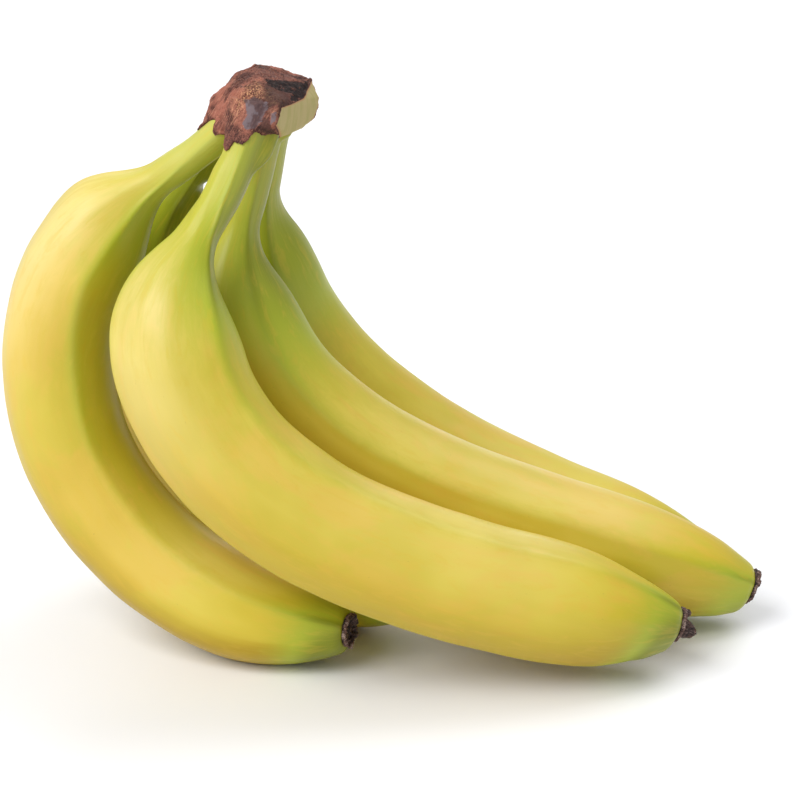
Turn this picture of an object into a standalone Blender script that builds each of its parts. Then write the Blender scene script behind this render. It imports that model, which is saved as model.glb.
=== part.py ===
"""A bunch of five bananas resting on its bellies, as broken off with its piece of woody crown.

Metres, +Z up. The origin is on the surface that the bunch rests on, under the middle of its box, and
+X runs the long way, from the bellies to the tips. Each finger is drawn in its own frame: it hangs
down -Z from its root in the crown and bends towards +X, and the crown holds it at its own angle.
"""

import math
import random

import bmesh
import bpy
import numpy as np
from mathutils import Matrix, Vector, noise

MM = 0.001

# ---- Driving dimensions, in millimetres, degrees and bends per metre --------------------------------

BUNCH_OFFSET = (6.8, -40.9, 0.0)    # brings the middle of the bunch's box over the origin
CLEARANCE = 0.3                     # gap kept between neighbouring pieces
REST_DEPTH = 0.6                    # how far a resting belly is pressed flat

STALK_RADIUS = 5.5                  # at the narrowest place
ROOT_FLARE = 1.2                    # how much wider the stalk is where it leaves the crown
FLARE_LENGTH = 18.0
NECK_LENGTH = 45.0                  # from the end of the stalk to the full girth
NECK_SWELL = 2.3                    # how much fuller the middle of the neck is than a plain easing
TAPER_LENGTH = 56.0                 # from the full girth to the tip
TAPER_POWER = 2.6                   # how round the taper is before its end
TIP_RADIUS = 6.8
SHOULDER_LEAD = 8.0                 # the bend starts this far before the stalk ends
SHOULDER_LENGTH = 24.0

# A finger has five ridges. Angles go round it from its outer side, the back of the curve.
RIDGE_ANGLES = (4.0, 66.0, 128.0, 232.0, 298.0)
FACE_HOLLOWS = (0.05, 0.05, 0.06, 0.05, 0.05)    # how far each face lies inside the round
RIDGE_RISE = 0.02                   # how far a ridge stands outside it
STALK_EDGES = 1.5                   # the ridges are this much stronger on the stalk
TIP_EDGES = 1.4                     # and at the tip
COLUMNS_PER_FACE = 6
STATIONS = {"stalk": 6, "neck": 8, "belly": 9, "taper": 9}
CENTRELINE_STEPS = 300

# root: where the finger starts in the crown. turn: its angles about X, Y and Z. stalk and body:
# lengths along the middle. girth: radius of the body. bends: curvature of the stalk, then of the
# body at its start, middle and end. sway: how it drifts sideways. shoulder: how much fuller its neck
# is on the outer side. rests: it touches the surface.
FINGERS = {
    "finger_front": {
        "root": (-47.0, 25.5, 180.4), "turn": (-14.0, 14.1, 9.6), "stalk": 37.5, "body": 228.5,
        "girth": 19.7, "bends": (-10.2, 27.4, -0.9, 0.9), "sway": -0.1, "shoulder": 1.1, "rests": False,
    },
    "finger_middle": {
        "root": (-43.0, 40.0, 179.0), "turn": (0.0, 9.1, 6.2), "stalk": 36.3, "body": 230.5,
        "girth": 18.1, "bends": (-3.8, 24.2, -3.5, 1.1), "sway": -0.3, "shoulder": 1.1, "rests": False,
    },
    "finger_back": {
        "root": (-42.0, 54.0, 175.5), "turn": (19.8, 8.6, -4.7), "stalk": 31.5, "body": 232.0,
        "girth": 17.3, "bends": (-2.4, 16.2, 4.4, 0.4), "sway": -0.6, "shoulder": 1.1, "rests": True,
    },
    "finger_left_front": {
        "root": (-54.7, 34.0, 174.2), "turn": (4.8, 44.4, -4.0), "stalk": 28.2, "body": 214.0,
        "girth": 18.2, "bends": (-5.7, 12.2, 16.4, 8.4), "sway": -0.9, "shoulder": 2.2, "rests": True,
    },
    "finger_left_back": {
        "root": (-56.0, 50.0, 172.4), "turn": (11.2, 38.1, -26.2), "stalk": 38.8, "body": 211.0,
        "girth": 17.7, "bends": (-0.8, 11.5, 16.4, 11.2), "sway": -0.3, "shoulder": 1.1, "rests": True,
    },
}

# The dried flower end of each finger: a crusty cup with a lobed rim.
FLOWER_COLUMNS = 20
FLOWER_LOBES = 5
FLOWER_SEED = 11
# Each ring of the cup: distance along the tip, radius, and how much the lobes move it.
FLOWER_RINGS = ((0.0, 5.3, 0.0), (0.6, 5.8, 0.3), (1.5, 5.6, 0.6), (2.6, 5.0, 1.0),
                (2.8, 3.8, 1.0), (2.0, 2.4, 0.5), (1.6, 1.1, 0.2))

# The corners of the crown's woody lump.
CROWN_CORNERS = (
    (-47.0, 45.0, 189.9), (-53.0, 42.0, 187.5), (-37.5, 50.0, 186.4), (-30.5, 48.0, 184.0),
    (-28.5, 44.0, 179.0), (-30.5, 40.0, 176.0), (-34.5, 34.0, 171.5), (-37.0, 26.0, 172.0),
    (-38.5, 18.0, 183.5), (-40.0, 16.0, 178.5), (-41.0, 17.0, 176.5), (-44.5, 30.0, 188.5),
    (-56.0, 38.0, 184.0), (-58.0, 34.0, 181.0), (-58.5, 32.0, 177.5), (-50.5, 21.0, 184.0),
    (-52.5, 18.0, 175.5), (-50.0, 22.0, 169.5), (-56.5, 30.0, 172.5), (-59.5, 52.0, 169.5),
    (-59.0, 52.0, 178.0), (-55.0, 60.0, 180.5), (-45.0, 63.0, 184.0), (-35.0, 61.0, 180.5),
    (-32.5, 56.0, 170.5), (-45.0, 63.0, 170.5), (-56.0, 58.0, 169.5),
)
CROWN_CUTS = 3                      # subdivision of the lump's edges
CROWN_ROUGHNESS = 0.7               # height of its bumps
CROWN_GRAIN = 7.0                   # size of its bumps
COLLAR_WALL = 0.7                   # skin round each stalk's root
COLLAR_LENGTHS = {"finger_front": 4.5, "finger_middle": 4.5, "finger_back": 4.5,
                  "finger_left_front": 1.5, "finger_left_back": 3.0}
SOCKET_STATIONS = (-CLEARANCE, 3.0, 6.0, 9.0, 12.0, 15.0, 20.0, 26.0)
# Tongues of dry skin on the stalks: finger, middle angle, half width in degrees, length.
TONGUES = (
    ("finger_front", 42.0, 24.0, 13.0), ("finger_front", 98.0, 34.0, 10.0),
    ("finger_front", 5.0, 22.0, 8.5), ("finger_left_front", 14.0, 26.0, 5.5),
    ("finger_left_front", 84.0, 26.0, 7.5), ("finger_left_front", 300.0, 32.0, 8.0),
    ("finger_left_back", 340.0, 34.0, 9.0), ("finger_left_back", 275.0, 30.0, 7.0),
    ("finger_back", 330.0, 32.0, 8.5), ("finger_back", 270.0, 34.0, 10.0),
)
TONGUE_THICKNESS = 0.6
TONGUE_STEPS = 7

FINGER_COLOUR = (0.62, 0.46, 0.06)
CROWN_COLOUR = (0.17, 0.075, 0.045)
FLOWER_COLOUR = (0.045, 0.03, 0.022)


# ---- Scene helpers ------------------------------------------------------------------------------------

def clear_scene():
    """Remove whatever the scene holds, so that the script can be run again."""
    for obj in list(bpy.data.objects):
        bpy.data.objects.remove(obj, do_unlink=True)


def plain_material(name, colour, roughness):
    """One Principled material with a single colour."""
    material = bpy.data.materials.new(name)
    material.use_nodes = True
    shader = material.node_tree.nodes["Principled BSDF"]
    shader.inputs["Base Color"].default_value = (*colour, 1.0)
    shader.inputs["Roughness"].default_value = roughness
    shader.inputs["Metallic"].default_value = 0.0
    return material


def object_from_bmesh(name, bm, material, parent):
    """Turn a bmesh, drawn in millimetres, into a smooth shaded object under its parent."""
    bmesh.ops.scale(bm, vec=(MM, MM, MM), verts=bm.verts)
    bmesh.ops.recalc_face_normals(bm, faces=bm.faces)
    mesh = bpy.data.meshes.new(name)
    bm.to_mesh(mesh)
    bm.free()
    mesh.shade_smooth()
    mesh.set_sharp_from_angle(angle=math.radians(40))
    mesh.materials.append(material)
    obj = bpy.data.objects.new(name, mesh)
    bpy.context.scene.collection.objects.link(obj)
    obj.parent = parent
    return obj


def as_cutter(obj, collection):
    """Mark an object as a tool of construction and put it in the collection that uses it."""
    obj.hide_render = True
    obj.display_type = "WIRE"
    collection.objects.link(obj)


def add_boolean(obj, name, operation, collection, solver="EXACT"):
    """Add or cut everything in a collection. MANIFOLD is for where EXACT leaves torn edges."""
    modifier = obj.modifiers.new(name, "BOOLEAN")
    modifier.operation = operation
    modifier.operand_type = "COLLECTION"
    modifier.collection = collection
    modifier.solver = solver


def bridge_rings(bm, rings):
    """Join rings of points, in order, into one closed skin with a fan at either end."""
    loops = [[bm.verts.new(point) for point in ring] for ring in rings]
    count = len(loops[0])
    for near, far in zip(loops, loops[1:]):
        for i in range(count):
            j = (i + 1) % count
            bm.faces.new((near[i], near[j], far[j], far[i]))
    for loop in (loops[0], loops[-1]):
        middle = sum((vert.co for vert in loop), Vector()) / count
        hub = bm.verts.new(middle)
        for i in range(count):
            bm.faces.new((loop[i], loop[(i + 1) % count], hub))


# ---- The shape of a finger ----------------------------------------------------------------------------

def ease(value):
    """A smooth step from 0 to 1."""
    value = np.clip(value, 0.0, 1.0)
    return value * value * (3.0 - 2.0 * value)


def neck_bump(finger, along):
    """1 in the middle of the neck and 0 at its ends."""
    return np.sin(math.pi * np.clip((along - finger["stalk"]) / NECK_LENGTH, 0.0, 1.0)) ** 2


def girth_at(finger, along):
    """Radius of the finger at a distance from its root."""
    stalk = finger["stalk"]
    length = stalk + finger["body"]
    radius = STALK_RADIUS + (finger["girth"] - STALK_RADIUS) * ease((along - stalk) / NECK_LENGTH)
    radius = radius + ROOT_FLARE * (1.0 - ease(along / FLARE_LENGTH))
    radius = radius + NECK_SWELL * neck_bump(finger, along)
    to_tip = np.clip((length - along) / TAPER_LENGTH, 0.0, 1.0)
    fullness = 1.0 - (1.0 - to_tip) ** TAPER_POWER
    return np.minimum(radius, TIP_RADIUS + (radius - TIP_RADIUS) * fullness)


def bend_at(finger, along):
    """Curvature of the finger's middle line, per millimetre."""
    stalk_bend, start, middle, end = (bend * MM for bend in finger["bends"])
    down_body = np.clip((along - finger["stalk"]) / finger["body"], 0.0, 1.0)
    up_body = 1.0 - down_body
    body_bend = start * up_body ** 2 + 2.0 * middle * up_body * down_body + end * down_body ** 2
    shoulder = ease((along - finger["stalk"] + SHOULDER_LEAD) / SHOULDER_LENGTH)
    return stalk_bend * (1.0 - shoulder) + body_bend * shoulder


def centreline(finger):
    """Distances along the finger, with its middle points, headings and outward directions."""
    length = finger["stalk"] + finger["body"]
    along = np.linspace(0.0, length, CENTRELINE_STEPS)
    step = along[1] - along[0]
    bend = bend_at(finger, along)
    lean = np.concatenate(([0.0], np.cumsum((bend[1:] + bend[:-1]) * step / 2.0)))
    drift = finger["sway"] * MM * along
    heading = np.stack([np.sin(lean) * np.cos(drift), np.sin(drift), -np.cos(lean) * np.cos(drift)], 1)
    steps = (heading[1:] + heading[:-1]) * step / 2.0
    points = np.concatenate(([[0.0, 0.0, 0.0]], np.cumsum(steps, axis=0)))
    outward = np.stack([-np.cos(lean), np.zeros_like(lean), -np.sin(lean)], 1)
    return along, points, heading, outward


def station_at(line, distance):
    """Middle point, heading, outward and sideways directions at one distance along a finger."""
    along, points, heading, outward = line
    place = [Vector([np.interp(distance, along, table[:, i]) for i in range(3)])
             for table in (points, heading, outward)]
    point, ahead, out = place
    ahead.normalize()
    overshoot = distance - min(max(distance, along[0]), along[-1])
    side = out.cross(ahead).normalized()
    return point + ahead * overshoot, ahead, ahead.cross(side), side


def edge_strength(finger, distance):
    """How strong the ridges are: most on the stalk and at the tip."""
    length = finger["stalk"] + finger["body"]
    stalk_part = 1.0 - ease((distance - finger["stalk"]) / NECK_LENGTH)
    tip_part = 1.0 - ease((length - distance) / TAPER_LENGTH)
    return 1.0 + (STALK_EDGES - 1.0) * stalk_part + (TIP_EDGES - 1.0) * tip_part


def roundness(angle, strength):
    """Radius at an angle round the finger, as a share of the girth: ridges out, faces in."""
    angle = (angle - RIDGE_ANGLES[0]) % 360.0 + RIDGE_ANGLES[0]
    edges = RIDGE_ANGLES + (RIDGE_ANGLES[0] + 360.0,)
    for first, second, hollow in zip(edges, edges[1:], FACE_HOLLOWS):
        if angle <= second:
            across = (angle - first) / (second - first)
            return 1.0 + RIDGE_RISE - hollow * strength * math.sin(math.pi * across)
    return 1.0 + RIDGE_RISE


def column_angles():
    """The angles of a ring's points, with one on every ridge."""
    edges = RIDGE_ANGLES + (RIDGE_ANGLES[0] + 360.0,)
    return [first + (second - first) * i / COLUMNS_PER_FACE
            for first, second in zip(edges, edges[1:]) for i in range(COLUMNS_PER_FACE)]


def surface_point(finger, line, distance, angle, offset=0.0):
    """A point on the finger's skin, or off it by an offset."""
    point, _, out, side = station_at(line, distance)
    turn = math.radians(angle)
    radius = girth_at(finger, distance) * roundness(angle, edge_strength(finger, distance)) + offset
    radius += finger["shoulder"] * neck_bump(finger, distance) * max(math.cos(turn), 0.0) ** 2
    return point + (out * math.cos(turn) + side * math.sin(turn)) * radius


def finger_stations(finger):
    """Where the rings go: close together on the neck and towards the tip."""
    stalk, length = finger["stalk"], finger["stalk"] + finger["body"]
    taper = np.linspace(0.0, 1.0, STATIONS["taper"])
    return np.concatenate([
        np.linspace(0.0, stalk, STATIONS["stalk"], endpoint=False),
        np.linspace(stalk, stalk + NECK_LENGTH, STATIONS["neck"], endpoint=False),
        np.linspace(stalk + NECK_LENGTH, length - TAPER_LENGTH, STATIONS["belly"], endpoint=False),
        length - TAPER_LENGTH * (1.0 - taper) ** 1.5,
    ])


def finger_tube(finger, stations, offset=0.0):
    """A closed skin round part of a finger."""
    line = centreline(finger)
    bm = bmesh.new()
    bridge_rings(bm, [[surface_point(finger, line, distance, angle, offset)
                       for angle in column_angles()] for distance in stations])
    return bm


def hang_like(obj, finger_object):
    """Hold a piece of the crown where a finger hangs, at the finger's angle."""
    obj.location = finger_object.location
    obj.rotation_euler = finger_object.rotation_euler


# ---- The pieces ---------------------------------------------------------------------------------------

def lowest_point(obj):
    """Height of an object's lowest vertex in the world."""
    bpy.context.view_layer.update()
    return min((obj.matrix_world @ vert.co).z for vert in obj.data.vertices)


def make_finger(name, finger, material, bunch, floor_cutters):
    """One banana, pressed flat where it rests."""
    obj = object_from_bmesh(name, finger_tube(finger, finger_stations(finger)), material, bunch)
    obj.location = Vector(finger["root"]) * MM
    obj.rotation_euler = [math.radians(angle) for angle in finger["turn"]]
    if finger["rests"]:
        obj.location.z -= lowest_point(obj) + REST_DEPTH * MM
        add_boolean(obj, "resting_spot", "DIFFERENCE", floor_cutters)
    return obj


def make_floor_cutter(collection, parent):
    """A block under the surface, which presses the resting bellies flat."""
    size = Vector((400.0, 300.0, 20.0))
    bm = bmesh.new()
    bmesh.ops.create_cube(bm, size=1.0)
    bmesh.ops.scale(bm, vec=size, verts=bm.verts)
    bmesh.ops.translate(bm, vec=(0.0, -BUNCH_OFFSET[1], -size.z / 2.0), verts=bm.verts)
    as_cutter(object_from_bmesh("floor_cutter", bm, bpy.data.materials["crown_wood"], parent), collection)


def make_flower_end(name, finger, finger_object, material, draw):
    """The dried flower on a finger's tip: a low cup whose rim stands in uneven lobes."""
    heights = [draw.uniform(-0.3, 1.0) for _ in range(FLOWER_LOBES)]
    start = draw.uniform(0.0, 2.0 * math.pi)
    rings = []
    for distance, radius, lift in FLOWER_RINGS:
        ring = []
        for i in range(FLOWER_COLUMNS):
            turn = 2.0 * math.pi * i / FLOWER_COLUMNS
            lobe = (turn * FLOWER_LOBES / (2.0 * math.pi)) % FLOWER_LOBES
            bulge = math.sin(math.pi * (lobe % 1.0)) * heights[int(lobe)]
            reach = radius * (1.0 + 0.10 * bulge * lift)
            ring.append(Vector((math.cos(turn + start) * reach, math.sin(turn + start) * reach,
                                distance + bulge * lift)))
        rings.append(ring)
    bm = bmesh.new()
    bridge_rings(bm, rings)
    obj = object_from_bmesh(name, bm, material, finger_object)
    length = finger["stalk"] + finger["body"]
    point, ahead, out, side = station_at(centreline(finger), length)
    point = (point + ahead * CLEARANCE) * MM
    turn = Matrix((out, side, ahead)).transposed().to_4x4()
    obj.matrix_local = Matrix.Translation(point) @ turn
    return obj


def make_lump(material, bunch):
    """The crown's woody lump: a hull over its corners, with a rough skin."""
    bm = bmesh.new()
    for corner in CROWN_CORNERS:
        bm.verts.new(corner)
    bmesh.ops.convex_hull(bm, input=bm.verts)
    bmesh.ops.subdivide_edges(bm, edges=bm.edges, cuts=CROWN_CUTS, use_grid_fill=True)
    bmesh.ops.triangulate(bm, faces=bm.faces)
    bm.normal_update()
    for vert in bm.verts:
        height = noise.fractal(vert.co / CROWN_GRAIN, 0.8, 2.0, 3)
        vert.co += vert.normal * CROWN_ROUGHNESS * height
    return object_from_bmesh("crown", bm, material, bunch)


def make_tongue(name, finger, angle, half_width, length, material):
    """A pointed tongue of dry skin that lies on a stalk, drawn in the finger's frame."""
    line = centreline(finger)
    bm = bmesh.new()
    rings = []
    for i in range(TONGUE_STEPS):
        down = i / (TONGUE_STEPS - 1)
        distance = -1.0 + (length + 1.0) * down
        half = half_width * (1.0 - 0.85 * down ** 1.6)
        across = np.linspace(-half, half, 5)
        outer = [surface_point(finger, line, distance, angle + x, CLEARANCE + TONGUE_THICKNESS)
                 for x in across]
        inner = [surface_point(finger, line, distance, angle + x, -1.0) for x in reversed(across)]
        rings.append(outer + inner)
    bridge_rings(bm, rings)
    return object_from_bmesh(name, bm, material, None)


def make_crown(material, bunch, fingers, additions, sockets):
    """The lump with a collar round every stalk, skin tongues on them, and a socket for each root."""
    crown = make_lump(material, bunch)
    shapes = []
    for name, finger in FINGERS.items():
        collar = finger_tube(finger, (-3.0, 0.0, COLLAR_LENGTHS[name]), CLEARANCE + COLLAR_WALL)
        shapes.append((name, object_from_bmesh("collar_" + name, collar, material, None), additions))
        root = finger_tube(finger, SOCKET_STATIONS, CLEARANCE)
        shapes.append((name, object_from_bmesh("socket_" + name, root, material, None), sockets))
    for index, (name, angle, half_width, length) in enumerate(TONGUES):
        tongue = make_tongue(f"tongue_{index}", FINGERS[name], angle, half_width, length, material)
        shapes.append((name, tongue, additions))
    for name, shape, collection in shapes:
        shape.parent = bunch
        hang_like(shape, fingers[name])
        as_cutter(shape, collection)
    add_boolean(crown, "collars_and_tongues", "UNION", additions, "MANIFOLD")
    add_boolean(crown, "sockets", "DIFFERENCE", sockets, "MANIFOLD")
    return crown


def main():
    clear_scene()
    wood = plain_material("crown_wood", CROWN_COLOUR, 0.75)
    peel = plain_material("peel", FINGER_COLOUR, 0.45)
    dried = plain_material("dried_flower", FLOWER_COLOUR, 0.85)

    bunch = bpy.data.objects.new("bunch", None)
    bunch.location = Vector(BUNCH_OFFSET) * MM
    bpy.context.scene.collection.objects.link(bunch)
    floor_cutters = bpy.data.collections.new("floor_cutters")
    additions = bpy.data.collections.new("crown_additions")
    sockets = bpy.data.collections.new("crown_sockets")

    make_floor_cutter(floor_cutters, bunch)
    draw = random.Random(FLOWER_SEED)
    fingers = {}
    for name, finger in FINGERS.items():
        fingers[name] = make_finger(name, finger, peel, bunch, floor_cutters)
        flower_name = name.replace("finger", "flower_end")
        make_flower_end(flower_name, finger, fingers[name], dried, draw)
    make_crown(wood, bunch, fingers, additions, sockets)
    bpy.context.view_layer.update()


main()
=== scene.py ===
# %% [markdown] # A bunch of bananas  Five bananas hang from one piece of woody crown, and the whole
# bunch lies on three of its fruits. The packed model already holds every piece as a plain solid.
# This lesson gives each piece its fine skin and its finish, and it never moves or resizes anything:
# every place is read from the frame.

# %% Load the packed model as the frame
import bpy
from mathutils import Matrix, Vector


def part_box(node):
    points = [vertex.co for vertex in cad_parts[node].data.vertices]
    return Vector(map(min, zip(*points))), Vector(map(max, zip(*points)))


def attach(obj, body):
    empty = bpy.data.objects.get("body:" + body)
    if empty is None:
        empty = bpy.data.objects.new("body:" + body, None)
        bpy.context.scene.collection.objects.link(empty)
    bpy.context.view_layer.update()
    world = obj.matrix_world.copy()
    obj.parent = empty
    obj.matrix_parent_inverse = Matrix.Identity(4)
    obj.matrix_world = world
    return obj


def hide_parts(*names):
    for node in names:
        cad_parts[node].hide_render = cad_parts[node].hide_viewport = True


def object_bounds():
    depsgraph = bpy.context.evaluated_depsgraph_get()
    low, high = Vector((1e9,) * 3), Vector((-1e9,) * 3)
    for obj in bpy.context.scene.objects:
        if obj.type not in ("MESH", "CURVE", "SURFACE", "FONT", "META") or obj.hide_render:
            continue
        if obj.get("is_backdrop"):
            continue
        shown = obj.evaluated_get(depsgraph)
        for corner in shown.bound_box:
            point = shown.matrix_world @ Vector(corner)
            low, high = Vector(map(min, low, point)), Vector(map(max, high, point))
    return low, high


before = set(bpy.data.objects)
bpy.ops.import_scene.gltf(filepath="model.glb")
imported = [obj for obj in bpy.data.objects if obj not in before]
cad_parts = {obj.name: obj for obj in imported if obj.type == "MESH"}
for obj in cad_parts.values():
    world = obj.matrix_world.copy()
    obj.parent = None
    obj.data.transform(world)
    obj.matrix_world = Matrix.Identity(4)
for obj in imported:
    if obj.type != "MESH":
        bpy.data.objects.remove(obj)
cad_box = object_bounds()
print("solids:", ", ".join(sorted(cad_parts)))

# %% [markdown]
# The shapes are worked out with numpy, as arrays of points, and Blender turns them into meshes. Fruit
# is easiest to think of in millimetres, but Blender counts in metres, so one factor stands between
# them.

# %% The tools, and the box in millimetres
import math

import bmesh
import bpy
import numpy as np
from mathutils import Matrix, Vector, noise

MM = 0.001
print("box of the solids, mm:", [[round(value / MM, 1) for value in corner] for corner in cad_box])

# %% [markdown]
# ## Camera
#
# The bunch is seen from a little above and from far enough away that the long fruits hardly shrink
# towards their tips. A long lens does that. The camera isn't rolled, so it only needs one tilt, and
# it aims at the middle of the bunch, a little below half its height.

# %% Place the camera
LOOK_DOWN = math.radians(20.56)
CAMERA_DISTANCE = 720 * MM
CAMERA_LENS = 102.06
AIM = Vector((3.39, -0.9, 82.56)) * MM

camera_data = bpy.data.cameras.new("camera")
camera_data.lens = CAMERA_LENS
camera_data.clip_start = 0.01
camera = bpy.data.objects.new("camera", camera_data)
bpy.context.scene.collection.objects.link(camera)
camera.location = AIM + CAMERA_DISTANCE * Vector((0.0, -math.cos(LOOK_DOWN), math.sin(LOOK_DOWN)))
camera.rotation_euler = (math.radians(90) - LOOK_DOWN, 0.0, 0.0)
bpy.context.scene.camera = camera
print("camera height, mm:", round(camera.location.z / MM))

# %% [markdown]
# ## Floor
#
# Fruit like this is shown on a white table in a bright tent. A bent backdrop would do, but with a
# wide enough sheet its far edge is never seen. The sheet is lit just past white, so only the soft
# shadows of the bunch stay visible. It is a shade bluish, because the fruits throw yellow light on it.

# %% Floor
FLOOR_HALF = 6.0
TABLE_WHITE = (0.955, 0.96, 0.99, 1.0)
FLOOR_CORNERS = [(-FLOOR_HALF, -FLOOR_HALF, 0), (FLOOR_HALF, -FLOOR_HALF, 0),
                 (FLOOR_HALF, FLOOR_HALF, 0), (-FLOOR_HALF, FLOOR_HALF, 0)]
floor_mesh = bpy.data.meshes.new("floor")
floor_mesh.from_pydata(FLOOR_CORNERS, [], [(0, 1, 2, 3)])
floor = bpy.data.objects.new("floor", floor_mesh)
bpy.context.scene.collection.objects.link(floor)
floor_finish = bpy.data.materials.new("white_table")
floor_finish.use_nodes = True
floor_shader = floor_finish.node_tree.nodes["Principled BSDF"]
floor_shader.inputs["Base Color"].default_value = TABLE_WHITE
floor_shader.inputs["Roughness"].default_value = 0.9
floor_shader.inputs["Specular IOR Level"].default_value = 0.1
floor_mesh.materials.append(floor_finish)
floor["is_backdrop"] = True
print("table, metres across:", 2 * FLOOR_HALF)

# %% [markdown]
# ## Lamps and sky
#
# The tent is an even white sky, which keeps every shadow soft. The main lamp stands in front of the
# left shoulder of the bunch: it gives the left fruits their pale flanks and leaves the sides that face
# right in the shade. Two weaker ones behind the bunch light the backs of the stalks and whiten the
# table there. Wide square lamps are used, because a small one would cut hard edges into the shadows.

# %% Lamps
LAMP_DISTANCE, LAMP_SIZE = 1.7, 1.1
LAMP_AIM = Vector((0.0, 0.0, 0.06))
# Direction round the bunch and height of each lamp in degrees, and its power in watts.
LAMPS = (("key", 225, 45, 23.4), ("back_right", 35, 62, 11.0), ("back_low", 90, 20, 7.5))


def add_lamp(name, around, height, power):
    """A square lamp some way round the bunch and above the table, aimed at the bunch."""
    data = bpy.data.lights.new(name, "AREA")
    data.size = LAMP_SIZE
    data.energy = power
    lamp = bpy.data.objects.new(name, data)
    bpy.context.scene.collection.objects.link(lamp)
    around, height = math.radians(around), math.radians(height)
    reach = math.cos(height)
    away = Vector((math.cos(around) * reach, math.sin(around) * reach, math.sin(height)))
    lamp.location = LAMP_AIM + LAMP_DISTANCE * away
    lamp.rotation_euler = (-away).to_track_quat("-Z", "Y").to_euler()


for lamp in LAMPS:
    add_lamp(*lamp)
print("lamps:", [lamp[0] for lamp in LAMPS])

# %% [markdown]
# A tent could be built as white walls with lamps behind them. An even white sky does the same for
# fruit that hardly mirrors anything, and it is quicker to render. The standard view is set too, so
# that white stays white.

# %% Sky
SKY_STRENGTH = 0.40
world = bpy.data.worlds.new("sky")
world.use_nodes = True
sky = world.node_tree.nodes["Background"]
sky.inputs["Color"].default_value = (1.0, 1.0, 1.0, 1.0)
sky.inputs["Strength"].default_value = SKY_STRENGTH
bpy.context.scene.world = world
bpy.context.scene.view_settings.view_transform = "Standard"
print("sky strength:", SKY_STRENGTH)

# %% [markdown]
# ## The shape of one banana
#
# A banana is a bent, five-sided tube. Its curve is not one arc: the stalk is nearly straight, the
# shoulder turns sharply, and the body flattens towards the tip. Sculpting five fruits by hand would
# work, but then none of them would fit its solid. Here each fruit is a list of growing rules, the same
# ones that its solid was built from, so the fine skin lies on the solid.
#
# The fruit is drawn hanging down from its root and bending towards +X. Lengths and girths are in
# millimetres. `turn` is how it then turns about X, Y and Z, in degrees. `bends` says how strongly it
# curves on the stalk and at the start, middle and end of the body, in bends per metre, and `sway` how
# it drifts sideways. `shoulder` is how far the outer side bulges below the stalk.

# %% How each banana grew
FINGERS = {
    "finger_front": {"turn": (-14.0, 14.1, 9.6), "stalk": 37.5, "body": 228.5, "girth": 19.7,
                     "bends": (-10.2, 27.4, -0.9, 0.9), "sway": -0.1, "shoulder": 1.1},
    "finger_middle": {"turn": (0.0, 9.1, 6.2), "stalk": 36.3, "body": 230.5, "girth": 18.1,
                      "bends": (-3.8, 24.2, -3.5, 1.1), "sway": -0.3, "shoulder": 1.1},
    "finger_back": {"turn": (19.8, 8.6, -4.7), "stalk": 31.5, "body": 232.0, "girth": 17.3,
                    "bends": (-2.4, 16.2, 4.4, 0.4), "sway": -0.6, "shoulder": 1.1},
    "finger_left_front": {"turn": (4.8, 44.4, -4.0), "stalk": 28.2, "body": 214.0, "girth": 18.2,
                          "bends": (-5.7, 12.2, 16.4, 8.4), "sway": -0.9, "shoulder": 2.2},
    "finger_left_back": {"turn": (11.2, 38.1, -26.2), "stalk": 38.8, "body": 211.0, "girth": 17.7,
                         "bends": (-0.8, 11.5, 16.4, 11.2), "sway": -0.3, "shoulder": 1.1},
}


def full_length(finger):
    """Length of a banana along its middle, from root to tip."""
    return finger["stalk"] + finger["body"]


print("lengths, mm:", {name: full_length(finger) for name, finger in FINGERS.items()})

# %% [markdown]
# The middle line comes from adding up many small turns. A curve object with handles would also bend,
# but its handles say nothing about growth. `ease` is the smooth step that makes one stretch flow into
# the next; without it the neck would show a seam where the stalk ends.

# %% The middle line of a banana
SHOULDER_LEAD, SHOULDER_LENGTH = 8.0, 24.0


def ease(value):
    """A smooth step from 0 to 1."""
    value = np.clip(value, 0.0, 1.0)
    return value * value * (3.0 - 2.0 * value)


def middle_line(finger, steps=300):
    """Distances along a banana, with its middle points, headings and outward directions."""
    along = np.linspace(0.0, full_length(finger), steps)
    step = along[1] - along[0]
    stalk_bend, start, middle, end = (bend * MM for bend in finger["bends"])
    down = np.clip((along - finger["stalk"]) / finger["body"], 0.0, 1.0)
    body_bend = start * (1 - down) ** 2 + 2 * middle * (1 - down) * down + end * down ** 2
    shoulder = ease((along - finger["stalk"] + SHOULDER_LEAD) / SHOULDER_LENGTH)
    bend = stalk_bend * (1 - shoulder) + body_bend * shoulder
    lean = np.concatenate(([0.0], np.cumsum((bend[1:] + bend[:-1]) * step / 2)))
    drift = finger["sway"] * MM * along
    heading = np.stack([np.sin(lean) * np.cos(drift), np.sin(drift), -np.cos(lean) * np.cos(drift)], 1)
    walked = np.cumsum((heading[1:] + heading[:-1]) * step / 2, axis=0)
    points = np.concatenate(([[0.0, 0.0, 0.0]], walked))
    outward = np.stack([-np.cos(lean), np.zeros_like(lean), -np.sin(lean)], 1)
    return along, points, heading, outward


def frames_at(finger, distances):
    """Middle points with the ahead, outward and sideways directions at some distances."""
    along, *tables = middle_line(finger)
    point, ahead, out = (np.stack([np.interp(distances, along, table[:, i]) for i in range(3)], 1)
                         for table in tables)
    ahead /= np.linalg.norm(ahead, axis=1)[:, None]
    side = np.cross(out, ahead)
    side /= np.linalg.norm(side, axis=1)[:, None]
    overshoot = distances - np.clip(distances, along[0], along[-1])
    return point + ahead * overshoot[:, None], ahead, np.cross(ahead, side), side


print("tip of the front banana from its root, mm:",
      np.round(middle_line(FINGERS["finger_front"])[1][-1]).tolist())

# %% [markdown]
# The cross-section has five ridges with shallow faces between them. A single circle would look like a
# hose. On the stalk the faces are hollow and the ridges crisp, and on the belly both soften, which is
# done here by averaging the outline over a few degrees. One ridge is so faint that it hardly shows.

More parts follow.
